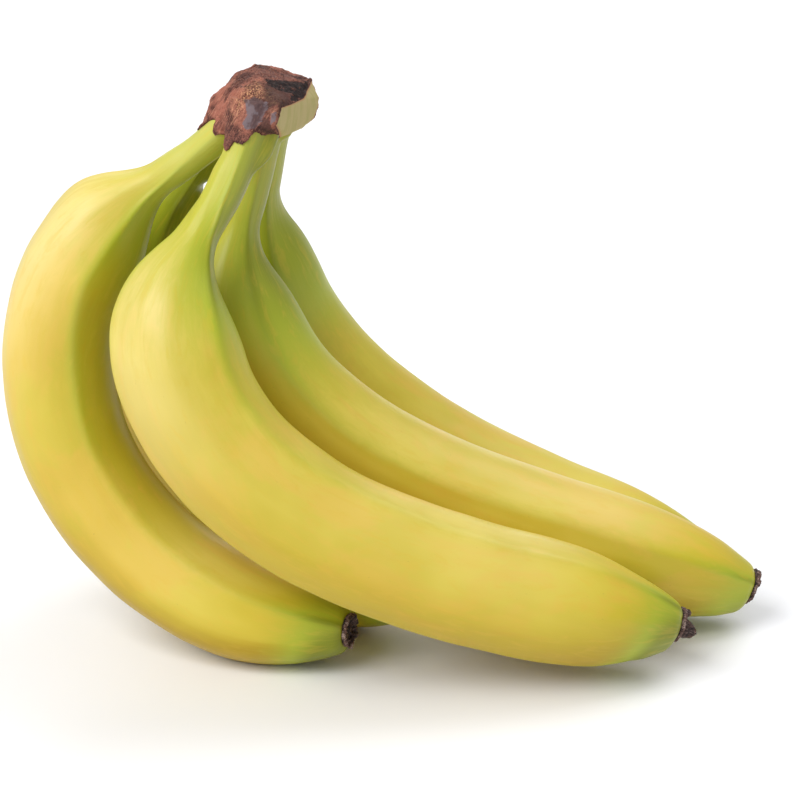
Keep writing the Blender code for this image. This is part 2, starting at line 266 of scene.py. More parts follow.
# %% The cross-section of a banana
RIDGE_ANGLES = np.array([4.0, 66.0, 128.0, 232.0, 298.0])
FACE_HOLLOWS = np.array([0.05, 0.05, 0.06, 0.05, 0.05])
RIDGE_RISE = 0.02
SOFTEN = np.linspace(-1.0, 1.0, 12)
FAINT_RIDGE, FAINT_WIDTH, FAINT_SOFTNESS = 66.0, 26.0, 24.0


def ridge_share(angle):
    """Which face an angle is on, and how far across it, from 0 to 1."""
    turned = (angle - RIDGE_ANGLES[0]) % 360 + RIDGE_ANGLES[0]
    edges = np.append(RIDGE_ANGLES, RIDGE_ANGLES[0] + 360)
    face = np.clip(np.searchsorted(edges, turned, side="right") - 1, 0, len(RIDGE_ANGLES) - 1)
    return face, (turned - edges[face]) / (edges[face + 1] - edges[face])


def degrees_from(angle, middle):
    """How far an angle is from a middle one, from -180 to 180 degrees."""
    return (angle - middle + 180) % 360 - 180


def outline(angle, strength, softness):
    """Radius round the banana as a share of its girth, for rings of angles."""
    faint = np.exp(-(degrees_from(angle, FAINT_RIDGE) / FAINT_WIDTH) ** 2)
    spread = softness[:, None] + FAINT_SOFTNESS * faint
    total = 0.0
    for nudge in SOFTEN:
        face, across = ridge_share(angle + nudge * spread)
        total = total + 1 + RIDGE_RISE - FACE_HOLLOWS[face] * strength[:, None] * np.sin(np.pi * across)
    return total / len(SOFTEN)


print("ridges round a banana, degrees:", RIDGE_ANGLES.tolist())

# %% [markdown]
# Along its length a banana is a thin stalk, a neck that swells fast, an even belly and a blunt taper.
# A spline through a few radii would bulge between them. Each stretch is a rule of its own instead, so
# that one number, such as the length of the neck, can be changed without upsetting the others.

# %% How thick and how ridged it is along its length
STALK_RADIUS, TIP_RADIUS = 5.5, 6.8
ROOT_FLARE, FLARE_LENGTH = 1.2, 18.0
NECK_LENGTH, NECK_SWELL = 45.0, 2.3
TAPER_LENGTH, TAPER_POWER = 56.0, 2.6
STALK_EDGES, TIP_EDGES = 1.5, 1.4
STALK_SOFTNESS, BELLY_SOFTNESS = 2.2, 3.2


def neck_bump(finger, along):
    """1 in the middle of the neck and 0 at its ends."""
    return np.sin(np.pi * np.clip((along - finger["stalk"]) / NECK_LENGTH, 0, 1)) ** 2


def past_neck(finger, along):
    """0 on the stalk and 1 on the body."""
    return ease((along - finger["stalk"]) / NECK_LENGTH)


def girth_at(finger, along):
    """Radius of a banana at some distances from its root."""
    radius = STALK_RADIUS + (finger["girth"] - STALK_RADIUS) * past_neck(finger, along)
    radius = radius + ROOT_FLARE * (1 - ease(along / FLARE_LENGTH)) + NECK_SWELL * neck_bump(finger, along)
    to_tip = np.clip((full_length(finger) - along) / TAPER_LENGTH, 0, 1)
    fullness = 1 - (1 - to_tip) ** TAPER_POWER
    return np.minimum(radius, TIP_RADIUS + (radius - TIP_RADIUS) * fullness)


def edge_strength(finger, along):
    """How strong the ridges are: most on the stalk and at the tip."""
    stalk_part = 1 - past_neck(finger, along)
    tip_part = 1 - ease((full_length(finger) - along) / TAPER_LENGTH)
    return 1 + (STALK_EDGES - 1) * stalk_part + (TIP_EDGES - 1) * tip_part


def edge_softness(finger, along):
    """Over how many degrees the ridges are rounded: least on the stalk."""
    return BELLY_SOFTNESS - (BELLY_SOFTNESS - STALK_SOFTNESS) * (1 - past_neck(finger, along))


print("girth at the belly, mm:", round(float(girth_at(FINGERS["finger_front"], np.array([130.0]))[0]), 1))

# %% [markdown]
# No two fruits are alike. The ridges wind slowly, as each fruit turned up towards the light while it
# grew, and crowded stalks press one another fuller or slimmer in places. Both are short lists here,
# because a few clear turns and bumps show better than any amount of noise.

# %% Ridges that wind
# Distance from the root in mm, and turn in degrees.
TWISTS = {
    "finger_front": ((0, -36), (20, -42), (29, -38), (37, -22), (44, -8), (50, -2), (75, -7), (110, -2),
                     (150, 8)),
    "finger_middle": ((0, -34), (25, -32), (34, -30), (42, -22), (52, -18), (120, -18), (200, -8)),
    "finger_back": ((0, -20), (40, -12), (120, -6)),
    "finger_left_front": ((0, -44), (19, -38), (31, -26), (42, -22), (67, -24), (90, -14), (102, -8),
                          (136, 0), (157, 4)),
    "finger_left_back": ((0, 0), (60, 0)),
}


def ridge_turn(name, along):
    """How far the ridges have wound at some distances, in degrees."""
    return np.interp(along, *zip(*TWISTS[name]))


print("ridge turn of the front banana:", ridge_turn("finger_front", np.array([20.0, 120.0])).tolist())

# %% [markdown]
# A swell is a soft bump round one angle and along one stretch. Pulling at single points would leave
# lumps, so each bump fades both ways. Swells that reach an end of the fruit start before its root or
# run on past its tip.

# %% Places that are fuller or slimmer
BEFORE_ROOT, PAST_TIP = -30.0, 300.0
# Angle, half width in degrees, height, and where it starts, ends and fades, all in mm.
SWELLS = {
    "finger_front": ((168.0, 20.0, 3.2, BEFORE_ROOT, 11.0, 9.0), (0.0, 60.0, 0.8, 244.0, PAST_TIP, 16.0),
                     (180.0, 60.0, -0.5, 250.0, PAST_TIP, 18.0), (0.0, 50.0, 0.7, 258.0, PAST_TIP, 6.0),
                     (5.0, 45.0, 0.9, 22.0, 38.0, 8.0)),
    "finger_middle": ((95.0, 26.0, 1.0, BEFORE_ROOT, 9.5, 3.5), (170.0, 22.0, 2.4, BEFORE_ROOT, 8.5, 3.5),
                      (0.0, 70.0, 2.2, 238.0, PAST_TIP, 18.0), (180.0, 80.0, -0.5, 262.0, PAST_TIP, 10.0),
                      (0.0, 50.0, 0.7, 260.0, PAST_TIP, 8.0)),
    "finger_back": ((150.0, 30.0, 1.6, BEFORE_ROOT, 7.5, 3.5),),
    "finger_left_front": ((2.0, 55.0, -1.9, BEFORE_ROOT, 4.0, 20.0), (0.0, 60.0, -1.2, 58.0, 60.0, 12.0)),
    "finger_left_back": ((208.0, 34.0, 4.2, 40.0, 50.0, 9.0), (208.0, 36.0, 1.6, 8.0, 24.0, 7.0),
                         (20.0, 50.0, -1.2, BEFORE_ROOT, 8.0, 5.0)),
}


def swell_height(name, along, angle):
    """How much fuller a banana is at each distance and angle, in mm."""
    height = np.zeros((len(along), len(angle)))
    for middle, width, rise, start, end, fade in SWELLS[name]:
        lengthwise = ease((along - start + fade) / fade) * (1 - ease((along - end) / fade))
        roundwise = np.exp(-(degrees_from(angle, middle) / width) ** 2)
        height += rise * lengthwise[:, None] * roundwise[None, :]
    return height


print("swells:", {name: len(swells) for name, swells in SWELLS.items()})

# %% [markdown]
# The tips differ too: some end slanted, and some grew on a little or lift more than their rule says.
# Moving the end alone would kink the peel, so each change fades in over the last few centimetres.

# %% Tips that slant, grow on and lift
# Slant in degrees, the rest in millimetres.
TIP_SLANTS, SLANT_LENGTH = {"finger_middle": 5.0, "finger_front": 5.0}, 16.0
TIP_GROWTH, GROWTH_LENGTH = {"finger_left_front": 1.8, "finger_middle": 0.1, "finger_front": 0.7}, 40.0
TIP_LIFT = {"finger_left_front": 1.5, "finger_middle": 0.7}


def tip_slant(name):
    """How far the end falls back for each millimetre towards the outer side."""
    return math.tan(math.radians(TIP_SLANTS.get(name, 0.0)))


def tip_share(name, along, length):
    """0 on the body and 1 at the tip, rising over a last stretch of that length."""
    return ease((along - full_length(FINGERS[name]) + length) / length)


def settle_tip(name, along, skin, across, ahead, out):
    """Skin points with the end grown on, lifted and slanted; across is how far out each point is."""
    late = tip_share(name, along, GROWTH_LENGTH)
    growth, lift = TIP_GROWTH.get(name, 0.0) * late, TIP_LIFT.get(name, 0.0) * late
    slant = tip_slant(name) * tip_share(name, along, SLANT_LENGTH)
    skin = skin + ahead[:, None] * growth[:, None, None] - out[:, None] * lift[:, None, None]
    return skin - ahead[:, None] * (slant[:, None] * across)[..., None]


print("tips that slant, degrees:", TIP_SLANTS)

# %% [markdown]
# All these rules meet in one function, which gives a point of the skin for any distance and angle.
# The bark asks it as well, so the bark can't float off a stalk or sink into it. A shrinkwrap modifier
# would also lay the bark on, but it would lose the torn shape of its edges.

# %% Points on the skin
def skin_points(name, along, angle, offset=0.0, plain=False):
    """Points on a banana's skin, or off it, as an array of rings: distance, angle, xyz."""
    finger = FINGERS[name]
    point, ahead, out, side = frames_at(finger, along)
    turn = np.radians(angle)
    wound = 0 * along if plain else ridge_turn(name, along)
    share = outline(angle[None, :] - wound[:, None], edge_strength(finger, along),
                    edge_softness(finger, along))
    bulge = finger["shoulder"] * neck_bump(finger, along)
    radius = girth_at(finger, along)[:, None] * share + bulge[:, None] * np.maximum(np.cos(turn), 0) ** 2
    if not plain:
        radius = radius + swell_height(name, along, angle)
    radius = radius + offset
    across = np.cos(turn) * radius
    skin = (point[:, None] + out[:, None] * across[..., None]
            + side[:, None] * (np.sin(turn) * radius)[..., None])
    return skin if plain else settle_tip(name, along, skin, across, ahead, out)


sample = skin_points("finger_front", np.array([130.0]), np.array([0.0, 180.0]))[0]
print("belly of the front banana, mm across:", round(float(np.linalg.norm(sample[0] - sample[1])), 1))

# %% [markdown]
# ## From points to pieces
#
# Each piece is worked out as an array of points, which is quick even for fifty thousand of them.
# Modelling by hand would be freer, but the skin would soon leave its solid. Rings of points are joined
# into a tube, and a fan of triangles closes each end.

# %% Faces between rings of points
def tube_faces(rings, columns):
    """Quads that join rings of points, each ring closed on itself."""
    row, column = np.meshgrid(np.arange(rings - 1), np.arange(columns), indexing="ij")
    here, right = row * columns + column, row * columns + (column + 1) % columns
    return np.stack([here, right, right + columns, here + columns], -1).reshape(-1, 4).tolist()


def fan_faces(start, columns, hub):
    """Triangles that close one ring of points at a hub."""
    return [[start + i, start + (i + 1) % columns, hub] for i in range(columns)]


print("faces of three rings of eight:", len(tube_faces(3, 8)), "and of one fan:", len(fan_faces(0, 8, 24)))

# %% [markdown]
# A finish can't know how ripe a place is, so the mesh carries such values for it, one at each point.
# They could be painted by hand, but rules can be changed and run again. The same helper tells the
# frame what the piece rides on and which solid it takes the place of.

# %% Helper that makes a piece
def make_piece(name, points, faces, finish, values, solid, body="root"):
    """A smooth mesh object from points in millimetres, with its values, handed to the frame."""
    mesh = bpy.data.meshes.new(name)
    mesh.from_pydata((np.asarray(points) * MM).tolist(), [], [list(map(int, face)) for face in faces])
    for title, value in values.items():
        vector = np.ndim(value) > 1
        layer = mesh.attributes.new(title, "FLOAT_VECTOR" if vector else "FLOAT", "POINT")
        layer.data.foreach_set("vector" if vector else "value", np.asarray(value, float).ravel())
    mesh.materials.append(finish)
    mesh.shade_smooth()
    bm = bmesh.new()
    bm.from_mesh(mesh)
    bmesh.ops.recalc_face_normals(bm, faces=bm.faces)
    bm.to_mesh(mesh)
    bm.free()
    obj = bpy.data.objects.new(name, mesh)
    bpy.context.scene.collection.objects.link(obj)
    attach(obj, body)
    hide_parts(solid)
    print(f"{name}: {len(mesh.polygons)} faces")


print("solids to dress:", len(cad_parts))

# %% [markdown]
# Nothing that grew is quite even. Blender's noise gives smooth bumps that come out the same each time.
# A displace modifier could push the points too, but values in an array can also be faded out where the
# skin has to stay calm.

# %% Smooth noise
def wander(points, size, seed=0.0, octaves=2):
    """Smooth noise at each point, from about -1 to 1, with bumps of that size in millimetres."""
    shift = Vector((seed * 17.3, seed * 5.1, seed * 9.7))
    return np.array([noise.fractal(Vector(p) / size + shift, 1.0, 2.0, octaves) for p in points])


print("noise at two places:", np.round(wander([(1.0, 2.0, 3.0), (9.0, 5.0, 2.0)], 4.0), 2).tolist())

# %% [markdown]
# Each fruit is turned, and then slid until its box meets the box of its solid. Its place could be
# typed in, but read from the frame it always fits. The slide is worked out on the plain fruit, without
# its own twists and swells, because the solid has none of them.

# %% Where each banana hangs
PROBE_RINGS = 150
PROBE_ANGLES = np.arange(0, 360, 4.0)


def find_place(name):
    """A banana's own turn, and the slide that brings it onto its solid."""
    turn = Matrix.Identity(4)
    for axis, angle in zip("XYZ", FINGERS[name]["turn"]):
        turn = Matrix.Rotation(math.radians(angle), 4, axis) @ turn
    turned = np.array(turn.to_3x3())
    along = np.linspace(0, full_length(FINGERS[name]), PROBE_RINGS)
    plain = skin_points(name, along, PROBE_ANGLES, plain=True).reshape(-1, 3) @ turned.T
    low, high = (np.array(corner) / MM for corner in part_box(name))
    across = (low + high) / 2 - (plain.min(0) + plain.max(0)) / 2
    return turned, np.array([across[0], across[1], high[2] - plain[:, 2].max()])


PLACES = {name: find_place(name) for name in FINGERS}


def to_bunch(name, points):
    """Points drawn in a banana's own frame, put where it hangs in the bunch."""
    turned, moved = PLACES[name]
    return np.asarray(points) @ turned.T + moved


print("roots, mm:", {name: np.round(place[1], 1).tolist() for name, place in PLACES.items()})

# %% [markdown]
# ## Recipes for finishes
#
# A finish is a chain of small choices: this much green where the fruit ripens last, this much orange
# in streaks. It could be wired by hand in the shader editor. Written as a recipe it can be read from
# top to bottom, and a helper for each kind of choice keeps every choice on one line.

# %% A material that grows line by line
class Recipe:
    """A material whose nodes are added one line at a time."""

    def __init__(self, name):
        self.material = bpy.data.materials.new(name)
        self.material.use_nodes = True
        self.tree = self.material.node_tree
        self.shader = self.tree.nodes["Principled BSDF"]

    def feed(self, socket, value):
        """Wires an output into a socket, or sets a plain value on it."""
        if isinstance(value, bpy.types.NodeSocket):
            self.tree.links.new(value, socket)
        elif hasattr(value, "__len__") and len(value) == 3 and socket.type == "RGBA":
            socket.default_value = (*value, 1.0)
        else:
            socket.default_value = value

    def node(self, kind, inputs=(), **settings):
        """Adds a node with settings, and feeds its inputs by name or number."""
        made = self.tree.nodes.new("ShaderNode" + kind)
        for setting, value in settings.items():
            setattr(made, setting, value)
        for key, value in dict(inputs).items():
            self.feed(made.inputs[key], value)
        return made


print("materials so far:", [material.name for material in bpy.data.materials])

# %% [markdown]
# The choices come next: read a value from the mesh, stretch a place, make noise, step, mix or bump.
# Each could be a node group, but a group hides what it does, and a named line shows it.

# %% Choices that a finish can make
class Finish(Recipe):
    """A recipe with one line for each kind of choice."""

    def value(self, name):
        """A number stored on the mesh."""
        return self.node("Attribute", attribute_name=name).outputs["Fac"]

    def place(self, name):
        """A vector stored on the mesh."""
        return self.node("Attribute", attribute_name=name).outputs["Vector"]

    def stretch(self, vector, scale):
        """A vector with each part scaled, which stretches the texture that reads it."""
        return self.node("Mapping", {"Vector": vector, "Scale": scale}).outputs[0]

    def noise(self, vector, scale, detail=2.0, roughness=0.5, twist=0.0):
        """Cloudy noise between about 0.3 and 0.7."""
        return self.node("TexNoise", {"Vector": vector, "Scale": scale, "Detail": detail,
                                      "Roughness": roughness, "Distortion": twist}).outputs[0]

    def step(self, value, low, high, start=0.0, end=1.0):
        """A smooth step of a value from low to high."""
        return self.node("MapRange", {0: value, 1: low, 2: high, 3: start, 4: end},
                         interpolation_type="SMOOTHSTEP").outputs[0]

    def sum(self, first, second, operation="ADD"):
        """Arithmetic on two numbers."""
        return self.node("Math", {0: first, 1: second}, operation=operation).outputs[0]

    def mix(self, share, first, second):
        """One colour over another by a share."""
        return self.node("Mix", {0: share, 6: first, 7: second}, data_type="RGBA").outputs[2]

    def bump(self, height, distance, strength=1.0, after=None):
        """Fine relief on the surface from a height."""
        inputs = {"Height": height, "Distance": distance, "Strength": strength}
        if after is not None:
            inputs["Normal"] = after
        return self.node("Bump", inputs).outputs[0]


print("choices:", [name for name in vars(Finish) if not name.startswith("_")])

# %% [markdown]
# Colours are easiest to judge on a paint card, but a shader counts light, and half the light looks
# more than half as bright. The colour picker would turn one into the other; this helper does it here.

# %% Colours from a paint card
def colour(red, green, blue):
    """A colour given as on a paint card, 0 to 255, turned into light by the usual screen curve."""
    return tuple((part / 255 / 12.92) if part < 10.3 else ((part / 255 + 0.055) / 1.055) ** 2.4
                 for part in (red, green, blue))


print("paint card yellow as light:", [round(part, 3) for part in colour(205, 180, 64)])

# %% [markdown]
# ## The peel's finish
#
# Peel is waxy, so it shines softly, and its colour runs along the fruit. It ripens from the outer
# flank: the stalk stays pale green, and the inner side, the ridges and the tip stay green longest.
# The sides that face the key lamp get a painted highlight, and the undersides and the tip a painted
# shade of deeper gold. A painted texture could be wrapped round the fruit, but it would smear at the
# bend, so the finish is all rules.

# %% Colours of the peel
YELLOW_DEEP = colour(201, 182, 38)
YELLOW_LIGHT = colour(214, 194, 62)
BLUSH = colour(220, 181, 62)
LEAF = colour(168, 178, 44)
LEAF_DEEP = colour(128, 136, 20)
PALE_STALK = colour(194, 195, 96)
# Painted highlight, for the sides that face the key lamp.
HIGHLIGHT_CREAM = colour(242, 222, 160)
# Painted shade, for the undersides and the tip.
SHADE_GOLD = colour(180, 150, 20)
SPECK = colour(140, 112, 48)
RIM_BROWN = colour(96, 74, 46)
print("deep yellow as light:", [round(part, 3) for part in YELLOW_DEEP])

# %% [markdown]
# The mesh carries its own map of the peel, and all the noise here reads that map and is stretched
# lengthwise, so the threads bend with the fruit. Noise that read the room would cut straight across.
# Real peel is very even, so the clouds, the blush and the mottle are all kept faint.

# %% Clouds, threads and yellows
def peel_marks(peel):
    """Noise that runs along the peel: soft clouds, blush, threads and mottle."""
    spot = peel.place("peel_map")
    return {
        "spot": spot,
        "cloud": peel.noise(peel.stretch(spot, (1.0, 1.0, 0.45)), 0.040, 3.0),
        "blush": peel.noise(peel.stretch(spot, (1.0, 1.0, 0.5)), 0.055, 4.0, 0.6, 0.5),
        "thread": peel.noise(peel.stretch(spot, (1.0, 1.0, 0.05)), 1.1, 3.0, 0.6),
        "mottle": peel.noise(peel.stretch(spot, (1.0, 1.0, 0.35)), 0.32, 4.0, 0.6, 0.6),
    }


def yellow_peel(peel, marks):
    """Yellow with clouds and blush, a painted highlight and painted gold shade underneath."""
    tone = peel.mix(peel.step(marks["cloud"], 0.35, 0.65), YELLOW_DEEP, YELLOW_LIGHT)
    tone = peel.mix(peel.step(marks["blush"], 0.46, 0.62, 0.0, 0.62), tone, BLUSH)
    # Painted highlight in cream, then painted shade in gold.
    tone = peel.mix(peel.value("warm"), tone, HIGHLIGHT_CREAM)
    return peel.mix(peel.value("under"), tone, SHADE_GOLD)


print("steps of the peel so far: marks, yellow")

# %% [markdown]
# Green lies over the yellow where the fruit is less ripe. A plain blend would look airbrushed, so a
# little mottle and thread is added before the step, and the edge of the green comes out ragged. Specks
# are where a fine noise and a rare one are both high, which keeps them few.

# %% Greens, specks and the brown rim
def green_peel(peel, marks, tone):
    """Leaf green over a tone where the peel is unripe, and the pale stalk over both."""
    greenness = peel.sum(peel.value("green"), peel.step(marks["mottle"], 0.3, 0.7, -0.08, 0.08))
    greenness = peel.sum(greenness, peel.step(marks["thread"], 0.3, 0.7, -0.03, 0.03))
    leaf = peel.mix(peel.step(peel.value("green"), 0.75, 1.5), LEAF, LEAF_DEEP)
    tone = peel.mix(peel.step(greenness, 0.02, 0.95), tone, leaf)
    return peel.mix(peel.value("pale"), tone, PALE_STALK)


def marked_peel(peel, marks, tone):
    """Faint mottle and threads over a tone, a few specks, and the brown rim at the flower."""
    tone = peel.mix(peel.step(marks["mottle"], 0.50, 0.68, 0.0, 0.22), tone, BLUSH)
    tone = peel.mix(peel.step(marks["thread"], 0.45, 0.65, 0.0, 0.06), tone, YELLOW_LIGHT)
    speckle = peel.noise(peel.stretch(marks["spot"], (1.0, 1.0, 0.6)), 1.3, 2.0, 0.4)
    rare = peel.noise(marks["spot"], 0.09, 1.0)
    specks = peel.sum(peel.step(speckle, 0.72, 0.78), peel.step(rare, 0.50, 0.66), "MULTIPLY")
    tone = peel.mix(peel.sum(specks, 0.22, "MULTIPLY"), tone, SPECK)
    ragged = peel.sum(peel.value("rim"), peel.step(marks["thread"], 0.3, 0.7, -0.12, 0.12))
    return peel.mix(peel.step(ragged, 0.35, 0.8), tone, RIM_BROWN)


print("steps of the peel so far: marks, yellow, green, specks")

# %% [markdown]
# A little light goes into real peel and comes out again, which softens its shaded side. Light that
# travels three millimetres under the surface is enough. Threads and pores are only bumps in the
# finish, because they are far finer than the mesh.

# %% Peel finish
LIGHT_REACH = 3 * MM
THREAD_RELIEF, PORE_RELIEF = 0.05 * MM, 0.04 * MM


def peel_finish():
    """Ripening banana peel."""
    peel = Finish("banana_peel")
    marks = peel_marks(peel)
    tone = green_peel(peel, marks, yellow_peel(peel, marks))
    peel.feed(peel.shader.inputs["Base Color"], marked_peel(peel, marks, tone))
    peel.feed(peel.shader.inputs["Roughness"], peel.step(marks["cloud"], 0.3, 0.7, 0.38, 0.46))
    peel.shader.inputs["Specular IOR Level"].default_value = 0.38
    peel.shader.inputs["Subsurface Weight"].default_value = 0.12
    peel.shader.inputs["Subsurface Radius"].default_value = (1.0, 0.8, 0.2)
    peel.shader.inputs["Subsurface Scale"].default_value = LIGHT_REACH
    fibres = peel.bump(marks["thread"], THREAD_RELIEF, 0.4)
    pores = peel.noise(marks["spot"], 1.8, 2.0)
    peel.feed(peel.shader.inputs["Normal"], peel.bump(pores, PORE_RELIEF, 0.4, fibres))
    return peel.material


PEEL = peel_finish()
print("peel nodes:", len(PEEL.node_tree.nodes))

# %% [markdown]
# ## How ripe each place is
#
# The fruits of one bunch don't ripen evenly. Green holds longest on the stalk, on the inner side that
# the neighbours shade, along the ridges and at the tip. Brushed on by hand it would be hard to adjust
# later. A row of numbers for each fruit says how strong its green is and where it ends.

# %% Ripeness of each banana
# Green of the stalk, where that ends, green of the inner side, and where that ends, in mm.
RIPENESS = {
    "finger_front": (0.95, 92.0, 0.58, 170.0),
    "finger_middle": (0.90, 118.0, 0.55, 178.0),
    "finger_back": (0.75, 118.0, 0.45, 180.0),
    "finger_left_front": (0.45, 74.0, 0.66, 195.0),
    "finger_left_back": (0.90, 110.0, 0.70, 200.0),
}
STALK_HOLD, INNER_HOLD = 0.35, 0.3
OUTER_SIDE = 10.0
TIP_GREEN, OTHER_TIP_GREEN = {"finger_middle": 1.2, "finger_front": 1.9}, 2.0


def inner_share(angle):
    """0 on the outer side and 1 on the inner side, for a ring of angles."""
    return (0.5 - 0.5 * np.cos(np.radians(angle - OUTER_SIDE)))[None, :]


def fading(along, end, hold):
    """1 from the root on, holding for a share of the way, and then fading to 0 at an end."""
    return 1 - ease((along - hold * end) / ((1 - hold) * end))[:, None]


print("green of the stalks:", {name: row[0] for name, row in RIPENESS.items()})

# %% [markdown]
# On the ridges the green stays longest as thin lines, which show the five sides even where the light
# is flat. They could be drawn by hand along each edge, but they have to wind with the ridges, so the
# line is worked out from the same turn.

# %% Green of the peel
GREEN_TIP_LENGTH, GREEN_TIP_POWER = 40.0, 2.2
RIDGE_GREEN, GREEN_RIDGE_WIDTH = 0.28, 0.10
FAINT_GAP = 31


def ridge_line(name, along, angle, width):
    """1 on a ridge and 0 between two, as lines some share of a face wide; none on the faint ridge."""
    turned = angle[None, :] - ridge_turn(name, along)[:, None]
    _, across = ridge_share(turned)
    line = np.exp(-(np.minimum(across, 1 - across) / width) ** 2)
    return line * (np.abs(degrees_from(turned, FAINT_RIDGE)) > FAINT_GAP)


def green_values(name, along, angle):
    """How green each point of the skin is."""
    stalk_green, stalk_end, inner_green, inner_end = RIPENESS[name]
    inner = inner_share(angle)
    neck = fading(along, stalk_end, STALK_HOLD)
    deep = fading(along, inner_end, INNER_HOLD)
    tip = tip_share(name, along, GREEN_TIP_LENGTH)[:, None]
    round_tip = (0.75 + 0.35 * np.cos(np.radians(angle)))[None, :]
    green = stalk_green * neck * (0.6 + 0.5 * inner) + inner_green * deep * inner ** 1.5
    green = green + TIP_GREEN.get(name, OTHER_TIP_GREEN) * round_tip * tip ** GREEN_TIP_POWER
    return green + RIDGE_GREEN * ridge_line(name, along, angle, GREEN_RIDGE_WIDTH) * (1 + 0.8 * tip)


print("green on the inner side of the front banana, half way down:",
      round(float(green_values("finger_front", np.array([130.0]), np.array([190.0]))[0, 0]), 2))

# %% [markdown]
# Near the crown the stalks are bleached, each by its own amount and each side by its own. Two fruits
# have a painted highlight on the shoulder as well. Each is a soft round spot, because an even stripe
# would run on under the neighbours, where no light came.

# %% Pale stalks and painted highlights on the shoulders
# How pale the stalk is at the crown, on its outer side and on its inner side.
STALK_PALENESS = {
    "finger_front": (0.45, 0.05), "finger_middle": (0.35, 0.35), "finger_back": (0.40, 0.40),
    "finger_left_front": (1.00, 0.05), "finger_left_back": (0.10, 0.00),
}
PALE_UNTIL, PALE_FADE = 12, 38
# Painted highlights on the shoulders of two fruits.
# Where along the body, from 0 to 1, how long, angle round, how wide, and how much.
SHOULDER_HIGHLIGHTS = {
    "finger_left_front": ((0.18, 0.13, 40.0, 45.0, 0.35),),
    "finger_front": ((0.22, 0.10, 40.0, 40.0, 0.25),),
}


def pale_values(name, along, angle):
    """How bleached each point of the stalk is."""
    outer_pale, inner_pale = STALK_PALENESS[name]
    inner = inner_share(angle)
    shown = 1 - ease((along - PALE_UNTIL) / PALE_FADE)
    return (outer_pale * (1 - inner) + inner_pale * inner) * shown[:, None]


def warm_values(name, along, angle):
    """How much painted highlight from the shoulder patches each point of the skin has."""
    finger = FINGERS[name]
    down = (along - finger["stalk"]) / finger["body"]
    warm = np.zeros((len(along), len(angle)))
    for middle, reach, turn, width, amount in SHOULDER_HIGHLIGHTS.get(name, ()):
        away = degrees_from(angle, turn)
        warm += amount * np.exp(-((down - middle) / reach) ** 2)[:, None] * np.exp(-(away / width) ** 2)
    return warm


print("pale shoulders:", list(SHOULDER_HIGHLIGHTS))

# %% [markdown]
# Painted highlight and painted shade work from a direction, so they need to know which way the skin
# faces. The finish could ask for the normal, but then the colours would change when the bunch is
# turned. They are worked out once instead and stored on the mesh, like the rest.

# %% Painted highlight towards the key lamp, and painted shade underneath
# The highlight is painted where the skin faces the key lamp, the shade underneath and near the tip.
LAMP_SIDE = np.array([-0.4, -0.4, 0.82])
HIGHLIGHT_STRENGTH = {"finger_front": 0.46, "finger_middle": 0.42, "finger_back": 0.20, "finger_left_front": 0.36,
            "finger_left_back": 0.1}
UNDERSIDE_SHADE, OTHER_UNDERSIDE_SHADE = {"finger_left_front": 1.5}, 0.85
TIP_SHADE = 0.6
BELOW, TIP_BELOW = 0.15, 0.75
# Where these begin and end, in mm; the stalk is left out up to a share of its length.
STALK_LEFT_OUT, STALK_FADE = 0.6, 40
HIGHLIGHT_STOP, HIGHLIGHT_FADE = 12, 50
SHADE_OVERRUN, SHADE_FADE = 4, 24
TIP_SHADE_START, TIP_SHADE_FADE = 48, 44


def facing(skin):
    """Which way each point of a grid of skin points faces."""
    lengthwise = np.gradient(skin, axis=0)
    roundwise = np.roll(skin, -1, axis=1) - np.roll(skin, 1, axis=1)
    normal = np.cross(roundwise, lengthwise)
    normal *= np.sign((normal * (skin - skin.mean(1, keepdims=True))).sum(-1, keepdims=True))
    return normal / (np.linalg.norm(normal, axis=-1, keepdims=True) + 1e-9)


def painted_highlight_and_shade(name, along, skin):
    """How much painted highlight and painted gold shade each point of a grid of skin points gets."""
    normal, length = facing(skin), full_length(FINGERS[name])
    up = normal[..., 2]
    past_stalk = ease((along - STALK_LEFT_OUT * FINGERS[name]["stalk"]) / STALK_FADE)
    belly = past_stalk * ease((length - HIGHLIGHT_STOP - along) / HIGHLIGHT_FADE)
    highlight = HIGHLIGHT_STRENGTH[name] * np.clip(normal @ LAMP_SIDE, 0, 1) ** 2 * belly[:, None]
    hidden = past_stalk * ease((length + SHADE_OVERRUN - along) / SHADE_FADE)
    shade_below = UNDERSIDE_SHADE.get(name, OTHER_UNDERSIDE_SHADE) * np.clip(BELOW - up, 0, 1) * hidden[:, None]
    near_tip = ease((along - length + TIP_SHADE_START) / TIP_SHADE_FADE)
    return highlight, shade_below + TIP_SHADE * np.clip(TIP_BELOW - up, 0, 1) * near_tip[:, None]


print("strongest painted highlight:", max(HIGHLIGHT_STRENGTH, key=HIGHLIGHT_STRENGTH.get))

# %% [markdown]
# The last two values are the peel's own map, which is the place on a straightened fruit, and the rim
# where the peel ends at the flower and has dried brown. A shift for each fruit keeps the map from
# giving all five the same clouds.

# %% All the values a skin carries
ORDER = {name: number for number, name in enumerate(FINGERS)}
MAP_SHIFT = 100.0
RIM_START, RIM_FADE = 0.35, 0.4


def peel_map(name, along, angle):
    """The place of each point on a straightened banana, shifted for each one."""
    turn, size = np.radians(angle), FINGERS[name]["girth"]
    spread = np.broadcast_arrays(np.cos(turn)[None, :] * size, np.sin(turn)[None, :] * size, along[:, None])
    return np.stack(spread, -1) + MAP_SHIFT * ORDER[name]


